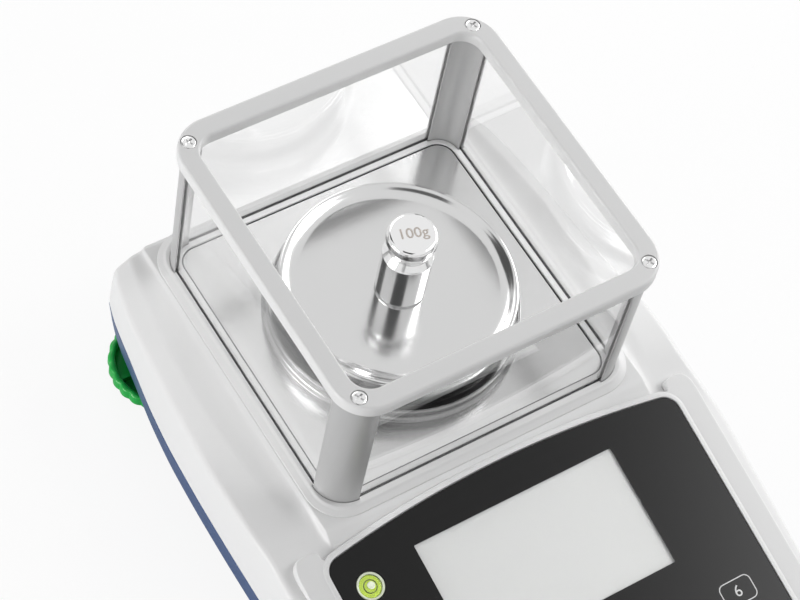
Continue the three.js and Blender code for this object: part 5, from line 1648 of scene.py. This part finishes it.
@dataclass
class RearSocket:
    """Serial socket at the rear: flange, tapered shell, insert and nine pins."""

    x: float = -49.0
    z: float = 49.85
    flange: Pair = (30.8, 12.5)
    shell: Pair = (18.0, 9.0)
    taper: float = 1.4
    rear_y: float = 142.0
    depth: float = 12.0
    shell_wall: float = 0.6
    insert_inset: float = 0.8
    insert_z: Pair = (3.0, 6.0)
    pin_pitch: float = 2.77
    pin_row: float = 1.42

    def outline(self, inset: float) -> Array:
        """Gives the shell's outline seen from behind: wide above, narrower below, with soft corners.

        Args:
            inset: how far it is drawn in.

        Returns:
            The outline's points.
        """
        half_x, half_z = self.shell[0] / 2 - inset, self.shell[1] / 2 - inset
        corners = [[-half_x + self.taper, -half_z], [half_x - self.taper, -half_z], [half_x, half_z],
                   [-half_x, half_z]]
        return soften(corners, 1.4, 4, True)

    def build(self) -> None:
        """Builds the flange with its shell, the dark insert and the pins."""
        depth = self.depth
        shell = loose("serial_shell", prism(self.outline(0), 0.0, depth, 0.15, 1))
        cut(shell, prism(self.outline(self.shell_wall), 4.0, depth + 4))
        flange = round_rectangle(self.flange[0] / 2, self.flange[1] / 2, 1.0, 4)
        self.stand(shell, prism(flange, depth - 3.8, depth - 2.8, 0.2, 2))
        present(shell, Finishes.SCREW_STEEL, "base", ["serial_port"])
        insert = loose("serial_insert", prism(self.outline(self.insert_inset), *self.insert_z, 0.1, 1))
        self.stand(insert)
        present(insert, Finishes.DARK_PLASTIC, "base")
        profile = soften([[0, 5.0], [0.5, 5.0], [0.5, 10.2], [0, 10.9]], [0, 0.1, 0.5, 0], 3)
        pins = [turned(profile, 16).moved((number - (count - 1) / 2) * self.pin_pitch, up)
                for count, up in ((5, self.pin_row), (4, -self.pin_row)) for number in range(count)]
        made = loose("serial_pins", together(pins))
        self.stand(made)
        present(made, Finishes.PIN_GOLD, "base")

    def stand(self, made: Object, extra: Surface | None = None) -> None:
        """Turns a piece drawn on the table to look out of the rear wall, and puts it in place.

        Args:
            made: the object, drawn with Z pointing out of the socket.
            extra: a further surface that is joined to it.
        """
        if extra is not None:
            work = bmesh.new()
            work.from_mesh(made.data)
            more = mesh_of("extra", extra)
            work.from_mesh(more)
            work.to_mesh(made.data)
            work.free()
            bpy.data.meshes.remove(more)
        place = Matrix(((-1, 0, 0, self.x * METRES), (0, 0, 1, (self.rear_y - self.depth) * METRES),
                        (0, 1, 0, self.z * METRES), (0, 0, 0, 1)))
        made.data.transform(place)


def dress_inner(frame: dict) -> None:
    """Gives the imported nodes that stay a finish.

    Args:
        frame: the loaded frame.
    """
    screws = [f"housing_screw_{corner}" for corner, _, _ in CORNERS] + ["cell_screw_1", "cell_screw_2"]
    for finish, names in (
        (Finishes.SCREW_STEEL, screws),
        (Finishes.CAST_METAL, ["load_cell", "cell_spacer", "chassis_plate", "pan_bracket", "pan_carrier"]),
        (Finishes.RUBBER, ["pan_bumper_1", "pan_bumper_2", "pan_bumper_3"]),
        (Finishes.CIRCUIT, ["main_board", "display_board"]),
        (Finishes.CORD_GREY, ["display_ribbon", "cell_lead"]),
        (Finishes.DARK_PLASTIC, ["power_jack"]),
        (Finishes.LCD_CELL, ["lcd_module"]),
    ):
        dress(frame, names, finish)


# Studio


@dataclass
class Lamp:
    """A soft square lamp that looks at the object."""

    name: str
    place: Triple
    size: float
    watts: float


@dataclass
class Studio:
    """Floor, world, lamps and the camera at the photograph's angle."""

    # The camera's place and the floor are in millimetres; the target, the cards and the lamps in metres
    camera_place: Triple = (-413.834, -376.534, 1002.947)
    camera_turn: Triple = (32.450322, -7.580141, -31.691248)
    lens: float = 116.69
    sensor_width: float = 36.0
    clip_end: float = 20.0
    world_light: float = 0.44
    floor_colour: str = "f4f4f4"
    floor_glow: float = 0.9
    floor_half: float = 3000.0
    card_colour: str = "555555"
    target: Triple = (0.0, 0.0, 0.06)
    # Behind the camera, and high over the rear left corner: place and size
    cards: tuple[tuple[Triple, float], ...] = (
        ((-0.476, -0.433, 1.144), 0.66), ((-0.4, 0.73, 0.95), 0.5))
    lamps: list[Lamp] = field(default_factory=lambda: [
        Lamp("key_left", (-1.7, 0.1, 0.12), 0.9, 28.0),
        Lamp("fill_right", (1.6, 0.2, 0.6), 1.0, 10.5),
        Lamp("soft_top_right", (1.08, -0.41, 1.34), 0.7, 9.5),
        Lamp("back_top", (0.3, 1.6, 1.0), 1.0, 7.0),
    ])

    def build_camera(self) -> None:
        """Sets the camera where the photograph was taken from."""
        data = bpy.data.cameras.new("camera")
        data.lens = self.lens
        data.sensor_width = self.sensor_width
        data.clip_end = self.clip_end
        camera = add_object("camera", data)
        camera.location = Vector(self.camera_place) * METRES
        camera.rotation_euler = Euler([math.radians(angle) for angle in self.camera_turn])
        bpy.context.scene.camera = camera

    def build_world(self) -> None:
        """Makes the world white where it is seen, also in mirrors and glass, and a plain light elsewhere."""
        world = bpy.data.worlds.new("studio")
        world.use_nodes = True
        tree = world.node_tree
        tree.nodes.clear()
        ray = add_node(tree, "ShaderNodeLightPath")
        seen = add_node(tree, "ShaderNodeMath", None,
                        {0: ray.outputs["Is Camera Ray"], 1: ray.outputs["Is Glossy Ray"]}, operation="MAXIMUM")
        shown = add_node(tree, "ShaderNodeMath", None, {0: seen.outputs[0], 1: ray.outputs["Is Transmission Ray"]},
                         operation="MAXIMUM")
        light = add_node(tree, "ShaderNodeBackground", {"Color": WHITE, "Strength": self.world_light})
        white = add_node(tree, "ShaderNodeBackground", {"Color": WHITE, "Strength": 1.0})
        mix = add_node(tree, "ShaderNodeMixShader", None, {0: shown.outputs[0], 1: light.outputs[0],
                                                           2: white.outputs[0]})
        add_node(tree, "ShaderNodeOutputWorld", None, {"Surface": mix.outputs[0]})
        bpy.context.scene.world = world

    def build_floor(self) -> None:
        """Lays the pale paper floor; the camera sees mostly its own glow, so that only the shadow shows."""
        floor = loose("floor", square(self.floor_half))
        material, tree = bare_material("floor_paper")
        paper = add_node(tree, "ShaderNodeBsdfDiffuse", {"Color": linear(self.floor_colour)})
        glow = add_node(tree, "ShaderNodeEmission", {"Color": WHITE, "Strength": 1.0})
        ray = add_node(tree, "ShaderNodeLightPath")
        seen = add_node(tree, "ShaderNodeMath", None, {0: ray.outputs["Is Camera Ray"],
                                                       1: ray.outputs["Is Transmission Ray"]}, operation="MAXIMUM")
        share = add_node(tree, "ShaderNodeMath", {1: self.floor_glow}, {0: seen.outputs[0]}, operation="MULTIPLY")
        mix = add_node(tree, "ShaderNodeMixShader", None, {0: share.outputs[0], 1: paper.outputs[0],
                                                           2: glow.outputs[0]})
        add_node(tree, "ShaderNodeOutputMaterial", None, {"Surface": mix.outputs[0]})
        floor.data.materials.append(material)

    def build_cards(self) -> None:
        """Hangs the dark cards, which bright metal mirrors as its dark bands; the camera doesn't see them."""
        material, tree = bare_material("dark_felt")
        felt = add_node(tree, "ShaderNodeBsdfDiffuse", {"Color": linear(self.card_colour)})
        add_node(tree, "ShaderNodeOutputMaterial", None, {"Surface": felt.outputs[0]})
        for number, (place, size) in enumerate(self.cards):
            card = loose(f"dark_card_{number + 1}", square(size / METRES / 2))
            self.aim(card, place)
            card.visible_camera = False
            card.data.materials.append(material)

    def aim(self, made: Object, place: Triple) -> None:
        """Puts an object in its place, turned to face the target."""
        made.location = place
        made.rotation_euler = (Vector(self.target) - Vector(place)).to_track_quat("-Z", "Y").to_euler()

    def build_lamps(self) -> None:
        """Hangs the soft lamps, each turned to the object."""
        for lamp in self.lamps:
            data = bpy.data.lights.new(lamp.name, "AREA")
            data.shape = "SQUARE"
            data.size = lamp.size
            data.energy = lamp.watts
            self.aim(add_object(lamp.name, data), lamp.place)

    def build(self) -> None:
        """Builds the whole studio."""
        bpy.context.scene.view_settings.view_transform = "Standard"
        self.build_camera()
        self.build_world()
        self.build_floor()
        self.build_cards()
        self.build_lamps()


def main() -> None:
    """Builds the looks in order."""
    logging.basicConfig(level=logging.INFO, format="%(name)s: %(message)s")
    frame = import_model()
    Studio().build()
    housing = Housing()
    housing.build_upper()
    housing.build_lower()
    display = Display()
    display.build_surround()
    display.build_panel()
    display.build_vial()
    DraftShield().build()
    WeighingStack().build()
    for place, sign_x, sign_y in CORNERS:
        LevellingFoot(place, sign_x * housing.feet[0], sign_y * housing.feet[1]).build()
    RearSocket().build()
    dress_inner(frame)


if __name__ == "__main__":
    main()
